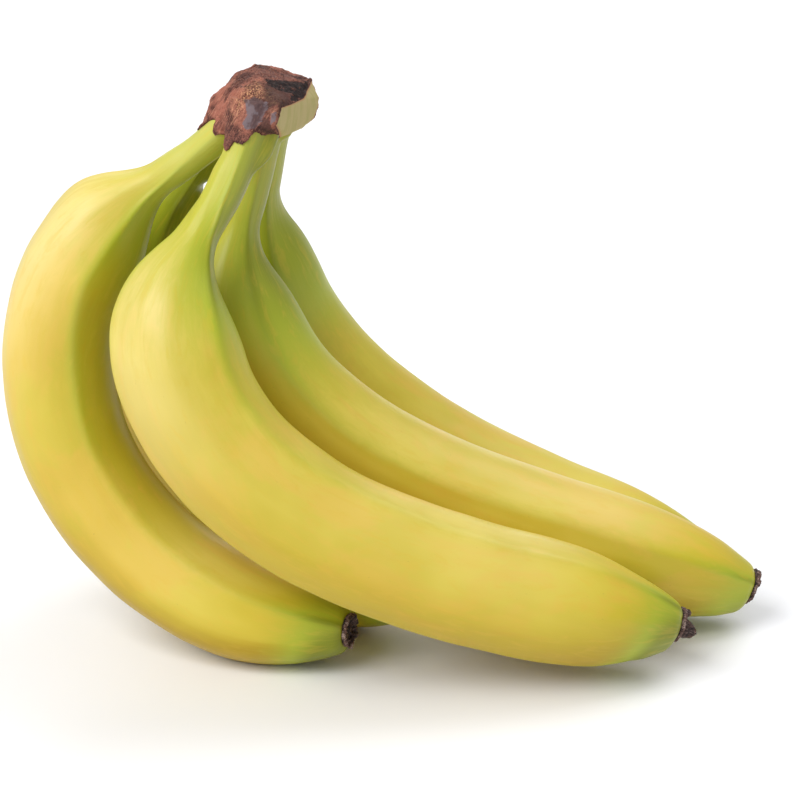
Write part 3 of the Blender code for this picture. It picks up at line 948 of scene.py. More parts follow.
def peel_values(name, along, angle, skin):
    """What the finish needs at each point of the skin."""
    green = green_values(name, along, angle)
    rim = ease((along - full_length(FINGERS[name]) + RIM_START) / RIM_FADE)[:, None] + 0 * green
    # Painted highlight and painted shade, from which way the skin faces.
    highlight, under = painted_highlight_and_shade(name, along, skin)
    return {"green": green, "pale": pale_values(name, along, angle),
            "warm": warm_values(name, along, angle) + highlight, "rim": rim,
            "peel_map": peel_map(name, along, angle), "under": under}


print("order of the bananas:", ORDER)

# %% [markdown]
# ## The bananas
#
# A banana's skin is one tube of rings, wide apart only on the belly, where the shape hardly changes.
# A subdivided cage would be lighter, but it would round off the ridges. At the root the tube is drawn
# in under the bark, and at the tip the peel rolls in under the dried flower.

# %% Rings of a skin
SKIN_COLUMNS = 144
STALK_RINGS, NECK_RINGS, BELLY_RINGS, TAPER_RINGS = 46, 46, 70, 62
ROOT_GAP, TIP_GAP = 1.0, 2.2
# Distance from the root or the tip, and how far the ring stands off, in mm; below 0 it is drawn in.
ROOT_END = ((-0.6, -2.4), (0.0, -1.2), (0.5, -0.4))
LIP = ((-1.6, -0.15), (-1.0, -0.45), (-0.5, -0.9), (-0.1, -1.5), (0.1, -2.1), (0.1, -2.8))


def skin_rings(name):
    """Distances of the rings of a skin, and how far each stands off; below 0 it is drawn in."""
    stalk, length = FINGERS[name]["stalk"], full_length(FINGERS[name])
    neck, taper = stalk + NECK_LENGTH, length - TAPER_LENGTH
    body = np.concatenate([[step for step, _ in ROOT_END],
                           np.linspace(ROOT_GAP, stalk, STALK_RINGS, endpoint=False),
                           np.linspace(stalk, neck, NECK_RINGS, endpoint=False),
                           np.linspace(neck, taper, BELLY_RINGS, endpoint=False),
                           np.linspace(taper, length - TIP_GAP, TAPER_RINGS)])
    along = np.append(body, [length + step for step, _ in LIP])
    inset = np.append(np.zeros(len(body)), [drop for _, drop in LIP])
    inset[:len(ROOT_END)] = [drop for _, drop in ROOT_END]
    return along, inset


print("rings of the front banana:", len(skin_rings("finger_front")[0]))

# %% [markdown]
# Over the rules lies a fine relief: soft dents from the neighbours, very shallow grooves lengthwise,
# and a narrow crest on every ridge but the faint one, which catches the light. Sculpting would give
# the same, but here dents and crests fade out near both ends, where other pieces sit on the skin.

# %% Relief of the peel
DENT_HEIGHT, DENT_SIZE = 0.35, 24.0
GROOVE_HEIGHT, GROOVE_RADIUS, GROOVE_STRETCH = 0.04, 9, 28
CREST_HEIGHT, CREST_WIDTH = 0.45, 0.11
CALM_ROOT, CALM_TIP, CALM_FADE = 10, 8, 30


def peel_relief(name, along, angle):
    """Height of dents, grooves and ridge crests at each point of the skin, in millimetres."""
    grid = (len(along), len(angle))
    bare = skin_points(name, along, angle).reshape(-1, 3)
    dents = wander(bare, DENT_SIZE, ORDER[name]).reshape(grid)
    to_end = np.minimum(along - CALM_ROOT, full_length(FINGERS[name]) - CALM_TIP - along)
    quiet = ease(to_end / CALM_FADE)[:, None]
    turn = np.radians(angle)[None]
    straight = np.broadcast_arrays(np.cos(turn) * GROOVE_RADIUS, np.sin(turn) * GROOVE_RADIUS,
                                   along[:, None] / GROOVE_STRETCH)
    grooves = wander(np.stack(straight, -1).reshape(-1, 3), 1.0, 3.0).reshape(grid)
    crests = CREST_HEIGHT * ridge_line(name, along, angle, CREST_WIDTH) * quiet
    return crests + DENT_HEIGHT * dents * quiet + GROOVE_HEIGHT * grooves


print("crest on a ridge, mm:", CREST_HEIGHT)

# %% [markdown]
# Now each skin is built and handed over. A crest could stick out past the solids by a hair, so the
# skin is trimmed to their box. Shrinking the whole fruit would cure that too, but it would leave gaps.

# %% Skins of the bananas
def make_banana(name):
    """One banana's skin."""
    along, inset = skin_rings(name)
    angle = np.arange(SKIN_COLUMNS) * 360 / SKIN_COLUMNS
    offset = peel_relief(name, along, angle) + inset[:, None]
    skin = to_bunch(name, skin_points(name, along, angle, offset).reshape(-1, 3))
    skin = np.clip(skin, *(np.array(corner) / MM for corner in cad_box))
    count, last = len(skin), len(skin) - SKIN_COLUMNS
    faces = tube_faces(len(along), SKIN_COLUMNS)
    faces += fan_faces(0, SKIN_COLUMNS, count) + fan_faces(last, SKIN_COLUMNS, count + 1)
    values = {}
    for title, value in peel_values(name, along, angle, skin.reshape(len(along), SKIN_COLUMNS, 3)).items():
        flat = value.reshape(count, *value.shape[2:])
        values[title] = np.concatenate([flat, flat[:1], flat[-1:]])
    skin = np.vstack([skin, skin[:SKIN_COLUMNS].mean(0), skin[last:].mean(0)])
    make_piece(name.replace("finger", "banana"), skin, faces, PEEL, values, solid=name)


for name in FINGERS:
    make_banana(name)

# %% [markdown]
# ## The crown's finish
#
# The crown is the cushion that held the bunch to its stem. Its bark is dry, brown and fibrous. Parts
# of it are stained nearly black, and a knife has left one pale, wet face. Painted shade darkens some
# parts and a painted grey sheen lies on others. A painted texture would need its own map, so the mesh
# carries a value for each patch instead, and the finish only decides how the patch looks and how
# ragged its edge is.

# %% Colours of the bark
BARK = colour(163, 101, 83)
BARK_DARK = colour(78, 44, 38)
BARK_PINK = colour(188, 126, 106)
FIBRE = colour(220, 168, 122)
CHAR = colour(26, 20, 21)
# Painted shade, and a painted grey sheen.
SHADE_BROWN = colour(50, 36, 36)
SHEEN_GREY = colour(116, 106, 111)
FLESH = colour(184, 169, 118)
FLESH_GREEN = colour(168, 160, 96)
FLESH_EDGE = colour(186, 142, 100)
print("bark as light:", [round(part, 3) for part in BARK])

# %% [markdown]
# Dry bark is a bundle of fibres, so one noise is drawn out along the fibres and two others are even:
# large blotches and a fine grain. Brown comes first, then pink and tan fibres on top, and dark pores
# last. One noise for all of them would be simpler, but it would look like stone.

# %% Fibres, blotches and grain
def bark_marks(bark):
    """Noise of the bark: fibres, large blotches, fine grain, and a ragged amount for edges."""
    where = bark.place("spot")
    grain = bark.noise(where, 2.2, 4.0, 0.7)
    return {
        "where": where,
        "fibre": bark.noise(bark.place("fibres"), 2.0, 4.0, 0.65, 0.4),
        "blotch": bark.noise(where, 0.17, 4.0, 0.6, 0.3),
        "grain": grain,
        "ragged": bark.step(grain, 0.3, 0.7, -0.3, 0.3),
    }


def dry_bark(bark, marks):
    """Brown bark with pink and tan fibres and dark pores."""
    fibre, grain = marks["fibre"], marks["grain"]
    tone = bark.mix(bark.step(marks["blotch"], 0.38, 0.60), BARK_DARK, BARK)
    tone = bark.mix(bark.step(fibre, 0.45, 0.70, 0.0, 0.8), tone, BARK_PINK)
    flecks = bark.sum(bark.step(grain, 0.48, 0.66), bark.value("tan"), "MULTIPLY")
    tone = bark.mix(flecks, tone, FIBRE)
    tone = bark.mix(bark.step(fibre, 0.60, 0.74, 0.0, 0.75), tone, FIBRE)
    return bark.mix(bark.step(grain, 0.48, 0.32, 0.0, 0.7), tone, BARK_DARK)


print("steps of the bark so far: marks, dry bark")

# %% [markdown]
# Stains soak in unevenly, so some ragged noise is added to each stain before its step, and the same is
# done to the painted shade and the painted grey sheen. The thin torn edges dried darkest. The cut face
# has streaks of green flesh and a tan edge, inside a dark border where the bark was bruised.

# %% Stains, painted shade and sheen, and the cut face
def stained_bark(bark, marks, tone):
    """Painted shade, painted grey sheen and charred patches over a tone, and dark torn edges."""
    # Painted shade.
    damp = bark.sum(bark.value("damp"), bark.step(marks["grain"], 0.35, 0.65, -0.3, 0.3))
    tone = bark.mix(bark.step(damp, 0.28, 0.85, 0.0, 0.78), tone, SHADE_BROWN)
    # Painted grey sheen, with dark blotches in it.
    plum = bark.step(bark.sum(bark.value("plum"), marks["ragged"]), 0.40, 0.60, 0.0, 0.9)
    plum_tone = bark.mix(bark.step(marks["blotch"], 0.40, 0.52, 0.35, 1.0), BARK_DARK, SHEEN_GREY)
    tone = bark.mix(plum, tone, plum_tone)
    torn = bark.step(bark.noise(marks["where"], 0.55, 4.0, 0.65), 0.3, 0.7, -0.5, 0.5)
    torn = bark.sum(bark.sum(marks["ragged"], torn), bark.step(bark.value("char"), 0.0, 0.3), "MULTIPLY")
    char = bark.step(bark.sum(bark.value("char"), torn), 0.35, 0.60, 0.0, 0.95)
    char_tone = bark.mix(bark.step(marks["fibre"], 0.55, 0.72, 0.0, 0.28), CHAR, BARK)
    tone = bark.mix(char, tone, char_tone)
    return bark.mix(bark.step(bark.value("edge"), 0.1, 0.9, 0.0, 0.75), tone, BARK_DARK)


def cut_bark(bark, marks, tone):
    """The pale, wet flesh that the knife left, over a tone with a dark border."""
    streak = bark.noise(bark.stretch(marks["where"], (1.0, 1.0, 0.10)), 0.5, 2.0, 0.5, 0.2)
    flesh = bark.mix(bark.step(streak, 0.40, 0.66, 0.0, 0.6), FLESH, FLESH_GREEN)
    flesh = bark.mix(bark.step(bark.value("cut"), 0.98, 0.62), flesh, FLESH_EDGE)
    ragged = bark.sum(bark.value("cut"), bark.sum(marks["ragged"], 0.25, "MULTIPLY"))
    tone = bark.mix(bark.step(bark.value("cut"), 0.04, 0.3, 0.0, 0.75), tone, BARK_DARK)
    return bark.mix(bark.step(ragged, 0.42, 0.50), tone, flesh)


print("steps of the bark so far: marks, dry bark, stains, cut face")

# %% [markdown]
# Dry bark hardly shines. Its relief has two sizes, fibres and grain, and both nearly vanish on the
# cut face, because a knife leaves a smooth surface.

# %% Bark finish
FIBRE_DEPTH, GRAIN_DEPTH = 0.45 * MM, 0.25 * MM


def bark_finish():
    """Dry crown bark with stains, painted shade, a painted grey sheen and a cut face."""
    bark = Finish("crown_bark")
    marks = bark_marks(bark)
    tone = stained_bark(bark, marks, dry_bark(bark, marks))
    bark.feed(bark.shader.inputs["Base Color"], cut_bark(bark, marks, tone))
    bark.feed(bark.shader.inputs["Roughness"], bark.step(marks["grain"], 0.3, 0.7, 0.62, 0.82))
    bark.shader.inputs["Specular IOR Level"].default_value = 0.22
    coarse = bark.bump(marks["fibre"], FIBRE_DEPTH, bark.step(bark.value("cut"), 0.3, 0.6, 0.7, 0.05))
    fine_strength = bark.step(bark.value("cut"), 0.3, 0.6, 0.6, 0.15)
    bark.feed(bark.shader.inputs["Normal"], bark.bump(marks["grain"], GRAIN_DEPTH, fine_strength, coarse))
    return bark.material


BARK_FINISH = bark_finish()
print("bark nodes:", len(BARK_FINISH.node_tree.nodes))

# %% [markdown]
# ## The crown's shape
#
# The lump is made of three hulls over a few listed corners: the body of the crown, a ledge on its
# top and a shoulder over the left fruits. Hulls give it its broken planes. Sculpted clay would come
# out too round, because a crown is torn and cut, not rolled.

# %% Corners of the lump
CROWN_CORNERS = (
    (-47.0, 45.0, 189.6), (-53.0, 42.0, 187.5), (-37.5, 50.0, 186.4), (-30.5, 48.0, 184.0),
    (-28.3, 44.0, 179.4), (-28.2, 43.0, 176.6), (-29.6, 41.0, 173.8), (-33.2, 38.5, 171.0),
    (-34.5, 34.0, 171.5), (-37.0, 26.0, 172.0), (-38.5, 18.0, 183.5), (-40.0, 16.0, 178.5),
    (-41.0, 17.0, 176.5), (-44.5, 30.0, 188.5), (-56.0, 38.0, 184.0), (-58.0, 34.0, 181.0),
    (-58.5, 32.0, 177.5), (-50.5, 25.0, 186.3), (-45.0, 23.0, 186.4), (-52.5, 18.0, 175.5),
    (-50.0, 22.0, 169.5), (-56.5, 30.0, 172.5), (-59.5, 52.0, 169.5), (-59.0, 52.0, 178.0),
    (-55.0, 60.0, 180.5), (-45.0, 63.0, 184.0), (-35.0, 61.0, 180.5), (-32.5, 56.0, 170.5),
    (-45.0, 63.0, 170.5), (-56.0, 58.0, 169.5),
)
LEDGE_CORNERS = (
    (-49.4, 42.0, 188.4), (-47.5, 43.4, 190.4), (-43.5, 45.0, 188.9), (-39.0, 46.0, 187.0),
    (-48.0, 52.0, 187.0), (-43.0, 53.0, 186.4), (-44.0, 38.0, 188.0), (-45.0, 45.0, 184.0),
)
SHOULDER_CORNERS = (
    (-61.2, 36.9, 177.6), (-61.4, 32.5, 175.4), (-56.8, 27.0, 178.0), (-54.2, 31.0, 184.2),
    (-60.2, 37.0, 180.8), (-58.0, 38.0, 183.2), (-55.6, 43.0, 184.4), (-60.6, 46.9, 177.0),
    (-52.8, 27.5, 172.0), (-56.8, 41.0, 172.0),
)
BUNCH_SHIFT = np.array([6.8, -40.9, 0.0])


def hull_of(corners):
    """Points and faces of the hull over some corners."""
    bm = bmesh.new()
    for corner in corners:
        bm.verts.new(corner)
    bmesh.ops.convex_hull(bm, input=bm.verts)
    bm.verts.index_update()
    points = np.array([vert.co for vert in bm.verts]) + BUNCH_SHIFT
    faces = [[vert.index for vert in face.verts] for face in bm.faces]
    bm.free()
    return points, faces


print("lump faces:", len(hull_of(CROWN_CORNERS)[1]))

# %% [markdown]
# Below the lump, the bark lies on every stalk like a torn sleeve with pointed tongues. Cutting the
# tongues out of a sleeve by hand is slow, so each edge is a short list of how far down it reaches at
# some angles round the stalk. A little random roughness makes it fray.

# %% Torn edges of the bark
# Angle round the stalk, and how far the bark reaches from the root, in mm.
TORN_EDGES = {
    "finger_front": ((0, 9.5), (12, 12.2), (22, 13.9), (30, 14.8), (40, 14.2), (46, 12.4), (52, 10.9),
                     (62, 11.7), (78, 11.3), (88, 10.0), (94, 8.2), (98, 7.2), (106, 6.6), (110, 5.2),
                     (134, 4.7), (166, 4.6), (250, 4.5), (300, 6.0), (340, 8.0)),
    "finger_left_front": ((0, 9.8), (8, 8.8), (20, 6.2), (32, 3.6), (44, 1.0), (52, 1.2), (62, 2.0),
                          (76, 4.3), (88, 4.4), (98, 2.4), (104, 1.8), (130, 2.0), (180, 1.0),
                          (240, 3.0), (275, 6.0), (300, 6.5), (330, 8.0), (350, 9.0)),
    "finger_middle": ((0, 3.0), (60, 4.0), (100, 4.5), (180, 4.0), (260, 5.5), (310, 3.5)),
    "finger_back": ((0, 5.0), (60, 3.0), (120, 3.5), (180, 4.5), (225, 8.0), (250, 5.0), (275, 10.5),
                    (300, 6.5), (330, 9.0), (345, 5.5)),
    "finger_left_back": ((0, 8.0), (20, 8.6), (42, 7.6), (66, 3.0), (150, 2.0), (210, 4.0), (250, 6.5),
                         (275, 4.0), (300, 8.0), (322, 5.0), (342, 9.5)),
}
FRAYING = 0.25


def torn_reach(name, angle):
    """How far the bark reaches down a stalk at each angle, with a frayed edge."""
    stops, reach = (np.array(part, float) for part in zip(*TORN_EDGES[name]))
    end = np.interp(angle, np.append(stops, 360), np.append(reach, reach[0]))
    draw = np.random.default_rng(len(name))
    return end + FRAYING * draw.standard_normal(len(angle))


print("longest tongues, mm:", {name: max(reach for _, reach in edge) for name, edge in TORN_EDGES.items()})

# %% [markdown]
# The sleeve could be a thin sheet round the stalk, but a sheet would leave a gap where it meets the
# lump. A plug fills the stalk as well: a closed solid, a bark's thickness wider than the stalk, that
# starts inside the lump and ends at the torn edge.

# %% A plug in each stalk
BARK_THICKNESS = 0.85
PLUG_START, PLUG_BITE, PLUG_CORE = -2.0, 1.5, 0.45
PLUG_ROWS, PLUG_COLUMNS = 30, 180
PLUG_LINE = np.arange(-6.0, 18.0, 0.25)


def make_plug(name):
    """A closed solid a little thicker than the top of a stalk, with a torn lower edge."""
    angle = np.arange(PLUG_COLUMNS) * 360 / PLUG_COLUMNS
    end = torn_reach(name, angle)
    sheet = skin_points(name, PLUG_LINE, angle, BARK_THICKNESS)
    spine = frames_at(FINGERS[name], PLUG_LINE)[0]
    rings = []
    for share in np.linspace(0, 1, PLUG_ROWS):
        place = PLUG_START + (end - PLUG_START) * share
        rings.append(np.array([[np.interp(at, PLUG_LINE, sheet[:, column, i]) for i in range(3)]
                               for column, at in enumerate(place)]))
    core = np.array([[np.interp(at, PLUG_LINE, spine[:, i]) for i in range(3)] for at in end - PLUG_BITE])
    rings.append(core + PLUG_CORE * (rings[-1] - core))
    points = np.concatenate(rings)
    count, last = len(points), len(points) - PLUG_COLUMNS
    faces = tube_faces(len(rings), PLUG_COLUMNS)
    faces += fan_faces(0, PLUG_COLUMNS, count) + fan_faces(last, PLUG_COLUMNS, count + 1)
    points = np.vstack([points, points[:PLUG_COLUMNS].mean(0), points[last:].mean(0)])
    return to_bunch(name, points), faces


PLUGS = [make_plug(name) for name in TORN_EDGES]
print("points in each plug:", len(PLUGS[0][0]))

# %% [markdown]
# Hulls and plugs are melted into one skin. Boolean unions would also join them, but would keep every
# sharp seam. A voxel remesh lays a fine even mesh over all of them, and a few smoothing passes soften
# the seams as dried bark would.

# %% Melt the solids into one even skin
LUMP_VOXEL = 0.36
LUMP_ROUNDING = 7


def melt(solids):
    """One fine, even mesh round several closed solids, with its outward directions."""
    mesh = bpy.data.meshes.new("melt")
    bm = bmesh.new()
    for points, faces in solids:
        verts = [bm.verts.new(point) for point in points]
        for face in faces:
            bm.faces.new([verts[i] for i in face])
    bmesh.ops.recalc_face_normals(bm, faces=bm.faces)
    bm.to_mesh(mesh)
    bm.free()
    obj = bpy.data.objects.new("melt", mesh)
    bpy.context.scene.collection.objects.link(obj)
    remesh = obj.modifiers.new("even", "REMESH")
    remesh.mode = "VOXEL"
    remesh.voxel_size = LUMP_VOXEL
    smooth = obj.modifiers.new("rounded", "SMOOTH")
    smooth.factor = 0.5
    smooth.iterations = LUMP_ROUNDING
    bpy.context.view_layer.update()
    fine = bpy.data.meshes.new_from_object(obj.evaluated_get(bpy.context.evaluated_depsgraph_get()))
    points = np.array([vert.co for vert in fine.vertices])
    normals = np.array([vert.normal for vert in fine.vertices])
    faces = [list(face.vertices) for face in fine.polygons]
    bpy.data.objects.remove(obj, do_unlink=True)
    bpy.data.meshes.remove(fine)
    return points, faces, normals


LUMPS = [hull_of(corners) for corners in (CROWN_CORNERS, LEDGE_CORNERS, SHOULDER_CORNERS)]
CROWN_SKIN = melt(LUMPS + PLUGS)
print("melted crown points:", len(CROWN_SKIN[0]))

# %% [markdown]
# The stains, the painted shade and sheen, and the cut face each cover a part of the lump. They could
# be painted on, but marked by polygons whose corners lie on the lump they stay easy to move. Each row
# below is a polygon, and then how soft its edge is in millimetres.

# %% Patches on the lump
PATCHES = {
    "cut": (((-31.8, -21.6, 182.0), (-33.2, -23.8, 177.5), (-31.5, -15.5, 171.2), (-26.6, -2.4, 170.4),
             (-23.0, 0.0, 173.4), (-21.6, 3.4, 179.0), (-23.4, 6.5, 183.6), (-25.6, -6.5, 181.2)), 0.7),
    "char": (((-36.9, -10.6, 188.4), (-26.0, 0.0, 186.0), (-23.4, 6.0, 185.0), (-25.4, -6.8, 180.8),
              (-29.5, -15.4, 181.9), (-29.6, -11.5, 183.6), (-35.1, -14.9, 186.3)), 0.7),
    # Painted grey sheen, in a large and a small patch.
    "plum": (((-42.2, -22.0, 184.4), (-39.5, -21.0, 185.2), (-35.6, -21.9, 183.6), (-35.4, -22.6, 181.6),
              (-37.2, -23.6, 179.0), (-39.0, -24.0, 176.2), (-41.8, -24.0, 176.0), (-43.0, -23.8, 177.8),
              (-41.4, -23.4, 180.0)), 0.9),
    "spot_plum": (((-34.2, -23.6, 180.6), (-32.8, -23.2, 181.0), (-33.0, -24.4, 179.0),
                   (-34.6, -24.6, 177.6)), 0.6),
    # Painted shade, in this patch and the next three.
    "damp": (((-37.5, -13.5, 187.3), (-29.0, -10.5, 184.0), (-28.5, -16.0, 181.5), (-31.0, -22.5, 180.5),
              (-36.5, -23.5, 182.5)), 1.8),
    "low_damp": (((-37.0, -23.6, 179.5), (-34.8, -24.0, 180.0), (-34.4, -24.6, 177.2),
                  (-33.6, -24.8, 174.6), (-36.5, -24.8, 174.8), (-38.6, -24.2, 176.0)), 1.2),
    "painted_shade_top": (((-46.5, -2.0, 188.6), (-40.4, 2.6, 190.0), (-32.0, 5.0, 188.0), (-24.0, 6.0, 185.0),
                  (-26.0, 0.0, 186.0), (-36.9, -10.6, 188.4), (-42.0, -13.0, 187.6),
                  (-46.5, -10.0, 187.4)), 2.5),
    "painted_shade_low": (((-50.0, -23.0, 172.5), (-49.0, -23.0, 178.0), (-44.0, -23.5, 177.5),
                  (-41.5, -24.0, 175.5), (-37.5, -24.0, 176.0), (-36.5, -24.0, 172.0),
                  (-42.0, -24.0, 169.0), (-47.0, -24.0, 168.0)), 2.0),
    "tan": (((-46.0, -18.0, 184.5), (-38.6, -13.0, 187.5), (-33.0, -16.0, 186.0), (-30.5, -20.5, 182.5),
             (-33.5, -23.0, 179.5), (-36.0, -21.8, 183.6), (-43.0, -22.0, 182.0),
             (-45.0, -22.0, 178.0)), 2.5),
}
print("patches:", list(PATCHES))

# %% [markdown]
# A point lies inside a polygon if a line drawn from it crosses the outline an odd number of times.
# Blender could select such points in edit mode, but a soft edge also needs the distance to the
# outline, so both are worked out here, on the plane that fits the corners best.

# %% How far inside a patch a point is
PATCH_DEPTH = 5.0


def patch_value(points, corners, softness):
    """1 inside a patch and 0 outside it, with a soft edge that many millimetres wide."""
    corners = np.array(corners)
    middle = corners.mean(0)
    _, _, axes = np.linalg.svd(corners - middle)
    flat, flat_corners = (points - middle) @ axes[:2].T, (corners - middle) @ axes[:2].T
    nearest = np.full(len(points), 1e9)
    inside = np.zeros(len(points), bool)
    for start, end in zip(flat_corners, np.roll(flat_corners, -1, axis=0)):
        run = end - start
        share = np.clip((flat - start) @ run / (run @ run), 0, 1)
        nearest = np.minimum(nearest, np.linalg.norm(flat - start - share[:, None] * run, axis=1))
        crosses = (start[1] > flat[:, 1]) != (end[1] > flat[:, 1])
        with np.errstate(divide="ignore", invalid="ignore"):
            at = start[0] + (flat[:, 1] - start[1]) * run[0] / run[1]
        inside ^= crosses & (flat[:, 0] < at)
    distance = np.where(inside, nearest, -nearest)
    lifted = np.abs((points - middle) @ axes[2])
    return ease(0.5 + distance / (2 * softness)) * (lifted < PATCH_DEPTH)


print("points in the cut face:", int((patch_value(CROWN_SKIN[0], *PATCHES["cut"]) > 0.5).sum()))

# %% [markdown]
# The torn edges are thin, so they dried darkest. Instead of marking them by hand, they are found by
# measuring how far each point of the bark stands off the nearest stalk: only a torn edge comes close.

# %% How far bark stands off a stalk
STALK_LINE = np.arange(-2.0, 20.0, 0.5)
STALK_STEP = 5.0
ROOT_MARGIN, ROOT_STEEPNESS = 2.0, 3.0


def height_off_stalk(name, points):
    """How far points of the bunch stand off one stalk's skin, in millimetres."""
    turned, moved = PLACES[name]
    local = (points - moved) @ turned
    spine, _, out, side = frames_at(FINGERS[name], STALK_LINE)
    nearest = np.argmin(((local[:, None] - spine[None]) ** 2).sum(2), axis=1)
    away = local - spine[nearest]
    across, sideways = (away * out[nearest]).sum(1), (away * side[nearest]).sum(1)
    angle = np.arange(0, 360, STALK_STEP)
    rings = np.linalg.norm(skin_points(name, STALK_LINE, angle) - spine[:, None], axis=2)
    column = np.round(np.degrees(np.arctan2(sideways, across)) / STALK_STEP).astype(int) % len(angle)
    above_root = np.maximum(ROOT_MARGIN - STALK_LINE[nearest], 0.0)
    return np.hypot(across, sideways) - rings[nearest, column] + ROOT_STEEPNESS * above_root


HEIGHT = np.min([height_off_stalk(name, CROWN_SKIN[0]) for name in TORN_EDGES], axis=0)
print("highest point off the stalks, mm:", round(float(HEIGHT.max()), 1))

# %% [markdown]
# Last comes the relief: wrinkles, leaning fibres and fine pits. A displace modifier would roughen the
# cut face too, and that has to stay flat, a small step below the bark round it.

# %% Values and relief of the crown
SHADE_SHARE = 0.62
EDGE_START, EDGE_WIDTH = 0.25, 0.45
WRINKLE, FIBRE_RELIEF, PIT = 0.45, 0.28, 0.14
FIBRE_TILT, FIBRE_STRETCH = math.radians(32), 0.16
CUT_STEP = 0.35


def crown_values(points, height):
    """What the finish needs at each point of the crown."""
    values = {title: patch_value(points, corners, softness)
              for title, (corners, softness) in PATCHES.items()}
    # Painted sheen patches join into one value, painted shade patches into another, top and low ones weaker.
    values["plum"] = np.maximum(values["plum"], values.pop("spot_plum"))
    values["damp"] = np.maximum(values["damp"], values.pop("low_damp"))
    for shade_patch in ("painted_shade_top", "painted_shade_low"):
        values["damp"] = np.maximum(values["damp"], SHADE_SHARE * values.pop(shade_patch))
    along_fibre = points @ np.array([math.sin(FIBRE_TILT), 0.0, math.cos(FIBRE_TILT)])
    across_fibre = points @ np.array([math.cos(FIBRE_TILT), 0.0, -math.sin(FIBRE_TILT)])
    values["edge"] = 1 - ease((height - EDGE_START) / EDGE_WIDTH)
    values["fibres"] = np.stack([across_fibre, points[:, 1], along_fibre * FIBRE_STRETCH], 1)
    values["spot"] = points
    return values


def crown_relief(points, height, values):
    """How far each point of the crown is pushed outwards, in mm; less where the bark is thin."""
    calm = ease((height + 0.2) / 2.5) * 0.6 + 0.4
    wrinkles = WRINKLE * wander(points, 5.0, 1.0, 4) + FIBRE_RELIEF * wander(values["fibres"], 1.1, 2.0, 3)
    rough = wrinkles * calm + PIT * wander(points, 0.8, 4.0, 2)
    whole = 1 - values["cut"]
    return rough * whole + CUT_STEP * whole * (values["cut"] > 0.02)


CROWN_VALUES = crown_values(CROWN_SKIN[0], HEIGHT)
print("values on the crown:", list(CROWN_VALUES))

# %% [markdown]
# The melted skin is pushed out by its relief and handed over with its values.

# %% The crown
def make_crown():
    """The woody crown with its patches and relief."""
    points, faces, normals = CROWN_SKIN
    rough = crown_relief(points, HEIGHT, CROWN_VALUES)
    make_piece("crown_bark", points + normals * rough[:, None], faces, BARK_FINISH, CROWN_VALUES,
               solid="crown")


make_crown()

# %% [markdown]
# ## The dried flowers
#
# Every banana ends in what is left of its flower: a brown, crumpled rim round a dark hollow, with a
# few curled stubs of petals. A plain cap would read as plastic. Their finish is dark brown, worn
# lighter on the rim, with pale threads where the petals tore.

# %% Dried flower finish
DRY = colour(76, 54, 48)
DRY_DARK = colour(30, 22, 22)
DRY_PALE = colour(176, 152, 142)
DRY_RIM = colour(124, 92, 82)
THREAD_DEPTH, DRY_GRAIN_DEPTH = 0.35 * MM, 0.2 * MM


def dry_finish():
    """Dead petals: dark brown with pale worn threads, and a lighter rim."""
    dry = Finish("dried_petals")
    where = dry.place("spot")
    crumple = dry.noise(where, 0.8, 4.0, 0.65, 0.6)
    threads = dry.noise(dry.place("threads"), 1.6, 4.0, 0.65, 0.3)
    grain = dry.noise(where, 2.6, 3.0, 0.6)
    tone = dry.mix(dry.step(crumple, 0.38, 0.60), DRY_DARK, DRY)
    worn = dry.sum(dry.value("rim"), dry.step(crumple, 0.35, 0.65, -0.35, 0.35))
    tone = dry.mix(dry.step(worn, 0.3, 0.8, 0.0, 0.65), tone, DRY_RIM)
    on_rim = dry.step(dry.value("rim"), 0.0, 0.5, 0.25, 1.0)
    pale = dry.sum(dry.step(threads, 0.50, 0.63, 0.0, 0.9), on_rim, "MULTIPLY")
    tone = dry.mix(pale, tone, DRY_PALE)
    tone = dry.mix(dry.step(grain, 0.52, 0.36, 0.0, 0.8), tone, DRY_DARK)
    dry.feed(dry.shader.inputs["Base Color"], tone)
    dry.shader.inputs["Roughness"].default_value = 0.75
    dry.shader.inputs["Specular IOR Level"].default_value = 0.3
    relief = dry.bump(threads, THREAD_DEPTH, 0.8)
    dry.feed(dry.shader.inputs["Normal"], dry.bump(grain, DRY_GRAIN_DEPTH, 0.6, relief))
    return dry.material


DRIED = dry_finish()
print("dried flower nodes:", len(DRIED.node_tree.nodes))

# %% [markdown]
# The rim is a profile spun round the tip: up the outside, over the lip and down into the hollow. A
# spun ring alone would look turned on a lathe, so noise makes it wavy and then crumples it.

# %% Rim of a dried flower
CRUST_COLUMNS = 96
# Distance past the tip, and radius, in mm.
CRUST_PROFILE = ((-0.9, 4.3), (-0.1, 4.9), (0.5, 5.25), (1.0, 5.3), (1.4, 5.0), (1.45, 4.5), (1.1, 3.9),
                 (0.4, 3.3), (0.1, 2.4), (0.2, 1.3), (0.3, 0.3))
LIP_RING, LIP_WIDTH = 3.0, 1.8
CRUMPLE, RIM_CRUMPLE_SIZE, STUB_CRUMPLE_SIZE = 0.46, 1.0, 1.4
WAVE_REACH, WAVE_DEPTH, WAVES = 0.07, 0.5, 2.4
THREAD_RADIUS, THREAD_STRETCH = 4, 0.35


def crumpled(points, size, seed):
    """Points pushed about by noise, as dried petals are."""
    return points + CRUMPLE * np.stack([wander(points, size, seed + k, 3) for k in (1, 2, 3)], 1)


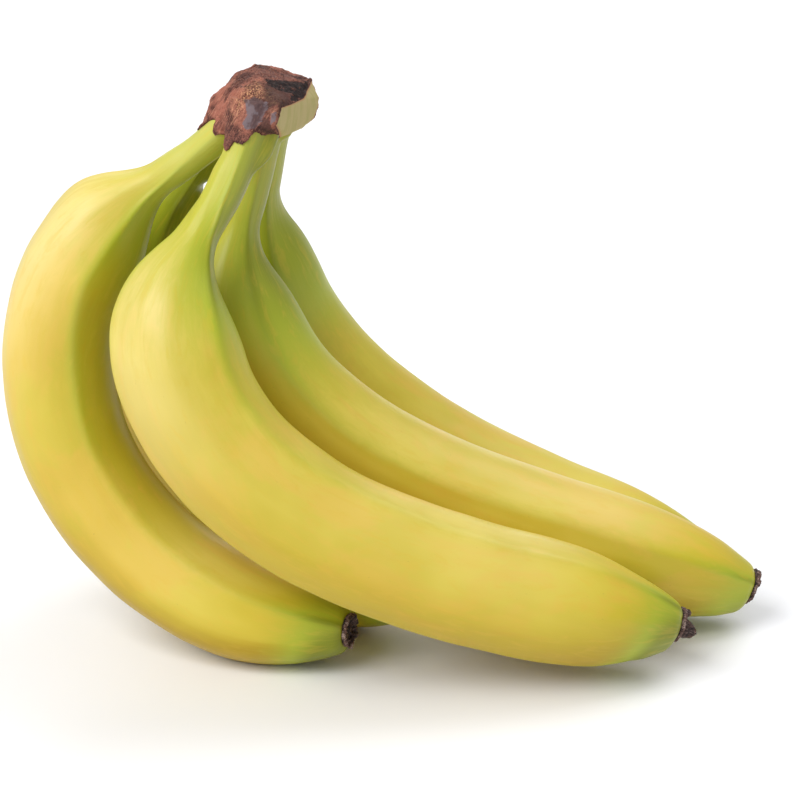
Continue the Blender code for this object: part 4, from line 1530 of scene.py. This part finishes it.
def crust_ring(seed):
    """The crumpled rim and hollow of a dried flower, with its threads and rim values."""
    angle = np.arange(CRUST_COLUMNS) * 2 * np.pi / CRUST_COLUMNS
    distance, radius = (np.array(part) for part in zip(*CRUST_PROFILE))
    round_it = np.stack([np.cos(angle) * WAVES, np.sin(angle) * WAVES, 0 * angle], 1)
    wobble = wander(round_it, 1.0, seed, 3)
    reach = radius[:, None] * (1 + WAVE_REACH * wobble[None, :])
    depth = distance[:, None] + WAVE_DEPTH * wobble[None, :] * (distance[:, None] > 0)
    points = np.stack([np.cos(angle) * reach, np.sin(angle) * reach, depth], -1).reshape(-1, 3)
    points = crumpled(points, RIM_CRUMPLE_SIZE, seed)
    hubs = [[0.0, 0.0, distance[-1]], [0.0, 0.0, distance[0]]]
    threads = np.stack([np.cos(angle) * THREAD_RADIUS + 0 * reach,
                        np.sin(angle) * THREAD_RADIUS + 0 * reach, THREAD_STRETCH * depth], -1)
    rim = np.repeat(np.exp(-((np.arange(len(radius)) - LIP_RING) / LIP_WIDTH) ** 2), CRUST_COLUMNS)
    top = (len(radius) - 1) * CRUST_COLUMNS
    faces = tube_faces(len(radius), CRUST_COLUMNS)
    faces += fan_faces(top, CRUST_COLUMNS, len(points)) + fan_faces(0, CRUST_COLUMNS, len(points) + 1)
    return (np.vstack([points, hubs]), faces, np.vstack([threads.reshape(-1, 3), hubs]),
            np.append(rim, [0.0, 0.0]))


print("points in a rim:", len(crust_ring(0.0)[0]))

# %% [markdown]
# Where petals broke off, short stubs stand on the rim, some upright and some curled in. Flat planes
# would vanish when seen edge on, so each stub is a closed, curved plate with some thickness, wider or
# narrower at its free end.

# %% Petal stubs
# Angle round the tip, width in degrees, length, lean outwards in degrees, how much wider the free
# end is, and how far it curls, in mm.
STUBS = {
    "finger_front": ((166, 80, 3.4, 14, -0.3, 0.9), (86, 88, 6.0, 0, 0.0, 0.8), (10, 30, 1.4, 20, 0.0, 0.3),
                     (250, 60, 1.8, 0, 0.2, 0.5)),
    "finger_middle": ((176, 60, 1.5, 24, 0.2, 0.4), (112, 34, 1.3, 10, 0.0, 0.4),
                      (60, 40, 1.0, 0, 0.2, 0.5), (15, 30, 0.9, 5, 0.0, 0.3),
                      (230, 60, 1.6, 0, 0.1, 0.4), (300, 50, 1.4, 10, 0.0, 0.4)),
    "finger_back": ((40, 60, 1.6, 10, 0.1, 0.4), (120, 60, 1.4, 5, 0.1, 0.4), (200, 60, 1.8, 0, 0.1, 0.4),
                    (290, 60, 1.5, 10, 0.1, 0.4)),
    "finger_left_front": ((35, 80, 1.0, -20, 0.0, 1.4), (120, 60, 1.2, -10, 0.1, 1.2),
                          (190, 50, 1.0, 0, 0.0, 0.8), (255, 50, 1.0, -5, 0.1, 0.8),
                          (320, 50, 0.9, -15, 0.0, 1.2)),
    "finger_left_back": ((60, 60, 1.6, 5, 0.1, 0.4), (150, 60, 1.4, 0, 0.1, 0.4), (240, 60, 1.8, 5, 0.1, 0.4),
                         (320, 50, 1.4, 5, 0.1, 0.4)),
}
print("stubs:", {name: len(stubs) for name, stubs in STUBS.items()})

# %% [markdown]
# A stub's plate is a small grid: across its width and up its height. Bending it is a matter of moving
# each row in or out by the lean and the curl. A bend modifier would do one of the two, not both.

# %% The plate of a petal stub
STUB_RADIUS, STUB_THICKNESS, STUB_ROOT = 4.7, 0.6, 0.1
STUB_ROWS, STUB_ACROSS = 14, 17
LONG_STUB, LONG_STUB_SLANT = 4.5, -20.0
DEGREES_PER_THREAD = 13


def petal_stub(seed, middle, width, length, lean, flare, curl):
    """A closed, curved plate left from a petal, with its threads and rim values."""
    across, up = np.linspace(-1, 1, STUB_ACROSS)[None, :], np.linspace(0, 1, STUB_ROWS)[:, None]
    spread = width / 2 * (1 + flare * up)
    turn = np.radians(middle + across * spread + LONG_STUB_SLANT * up * (length > LONG_STUB))
    height = length * up * (1 - 0.35 * np.abs(across) ** 3)
    bend = math.tan(math.radians(lean)) * height - curl * up ** 2.5
    cup = 0.5 * flare * length * 0.3 * up * (1 - across ** 2)
    shells = []
    for thick in (0.0, STUB_THICKNESS):
        ring = STUB_RADIUS + bend + cup - thick * (1 - 0.6 * up)
        shells.append(np.stack([np.cos(turn) * ring, np.sin(turn) * ring, height - STUB_ROOT], -1))
    points = np.concatenate([shells[0], shells[1][:, ::-1]], 1).reshape(-1, 3)
    points = crumpled(points, STUB_CRUMPLE_SIZE, seed + middle)
    loop = 2 * STUB_ACROSS
    faces = tube_faces(STUB_ROWS, loop)
    for start in (0, (STUB_ROWS - 1) * loop):
        faces += [[start + i, start + i + 1, start + loop - 2 - i, start + loop - 1 - i]
                  for i in range(STUB_ACROSS - 1)]
    both = np.concatenate([across + 0 * up, across[:, ::-1] + 0 * up], 1)
    line = both * width / DEGREES_PER_THREAD
    threads = np.stack([line, 0 * line + middle, np.broadcast_to(0.25 * length * up, line.shape)], -1)
    rim = 0.55 * ease((np.abs(both) - 0.6) / 0.4) + 0.45 * (up > 0.9)
    return points, faces, threads.reshape(-1, 3), rim.ravel()


print("points in a stub:", len(petal_stub(0.0, *STUBS["finger_front"][0])[0]))

# %% [markdown]
# Each flower is drawn standing upright, then leaned and moved with its tip and turned into place. The
# flowers of fruits that lie on the table could dip into it, so their points are kept above it.

# %% Flower ends
CRUST_SIZES = {"finger_back": 0.95, "finger_middle": 1.12, "finger_front": 1.04, "finger_left_front": 1.03}
SPOT_SHIFT = 40.0


def make_flower(name):
    """The dried flower at the tip of one banana."""
    seed = float(ORDER[name])
    parts = [crust_ring(seed)] + [petal_stub(seed, *stub) for stub in STUBS[name]]
    count, faces = 0, []
    for part in parts:
        faces += [[count + index for index in face] for face in part[1]]
        count += len(part[0])
    drawn, threads = (np.vstack([part[i] for part in parts]) for i in (0, 2))
    rim = np.concatenate([part[3] for part in parts])
    spot = drawn + SPOT_SHIFT * seed
    drawn[:, 0] -= TIP_LIFT.get(name, 0.0)
    drawn[:, :2] *= CRUST_SIZES.get(name, 1.0)
    drawn[:, 2] += TIP_GROWTH.get(name, 0.0) - tip_slant(name) * drawn[:, 0]
    tip = np.array([full_length(FINGERS[name])])
    point, ahead, out, side = (part[0] for part in frames_at(FINGERS[name], tip))
    placed = to_bunch(name, point + drawn @ np.stack([out, side, ahead]))
    placed[:, 2] = np.maximum(placed[:, 2], 0.0)
    make_piece(name.replace("finger", "dried_flower"), placed, faces, DRIED,
               {"spot": spot, "threads": threads, "rim": rim},
               solid=name.replace("finger", "flower_end"))


for name in FINGERS:
    make_flower(name)

# %% [markdown] ## Boxes The last cell prints how far the dressed model's box passes the solids' box,
# because the fine skins must not outgrow the solids.

# %% Boxes and finish
shown_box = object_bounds()
past = [max(cad_box[0][i] - shown_box[0][i], shown_box[1][i] - cad_box[1][i]) for i in range(3)]
print("outgrows the solids by, mm:", [round(distance / MM, 2) for distance in past])
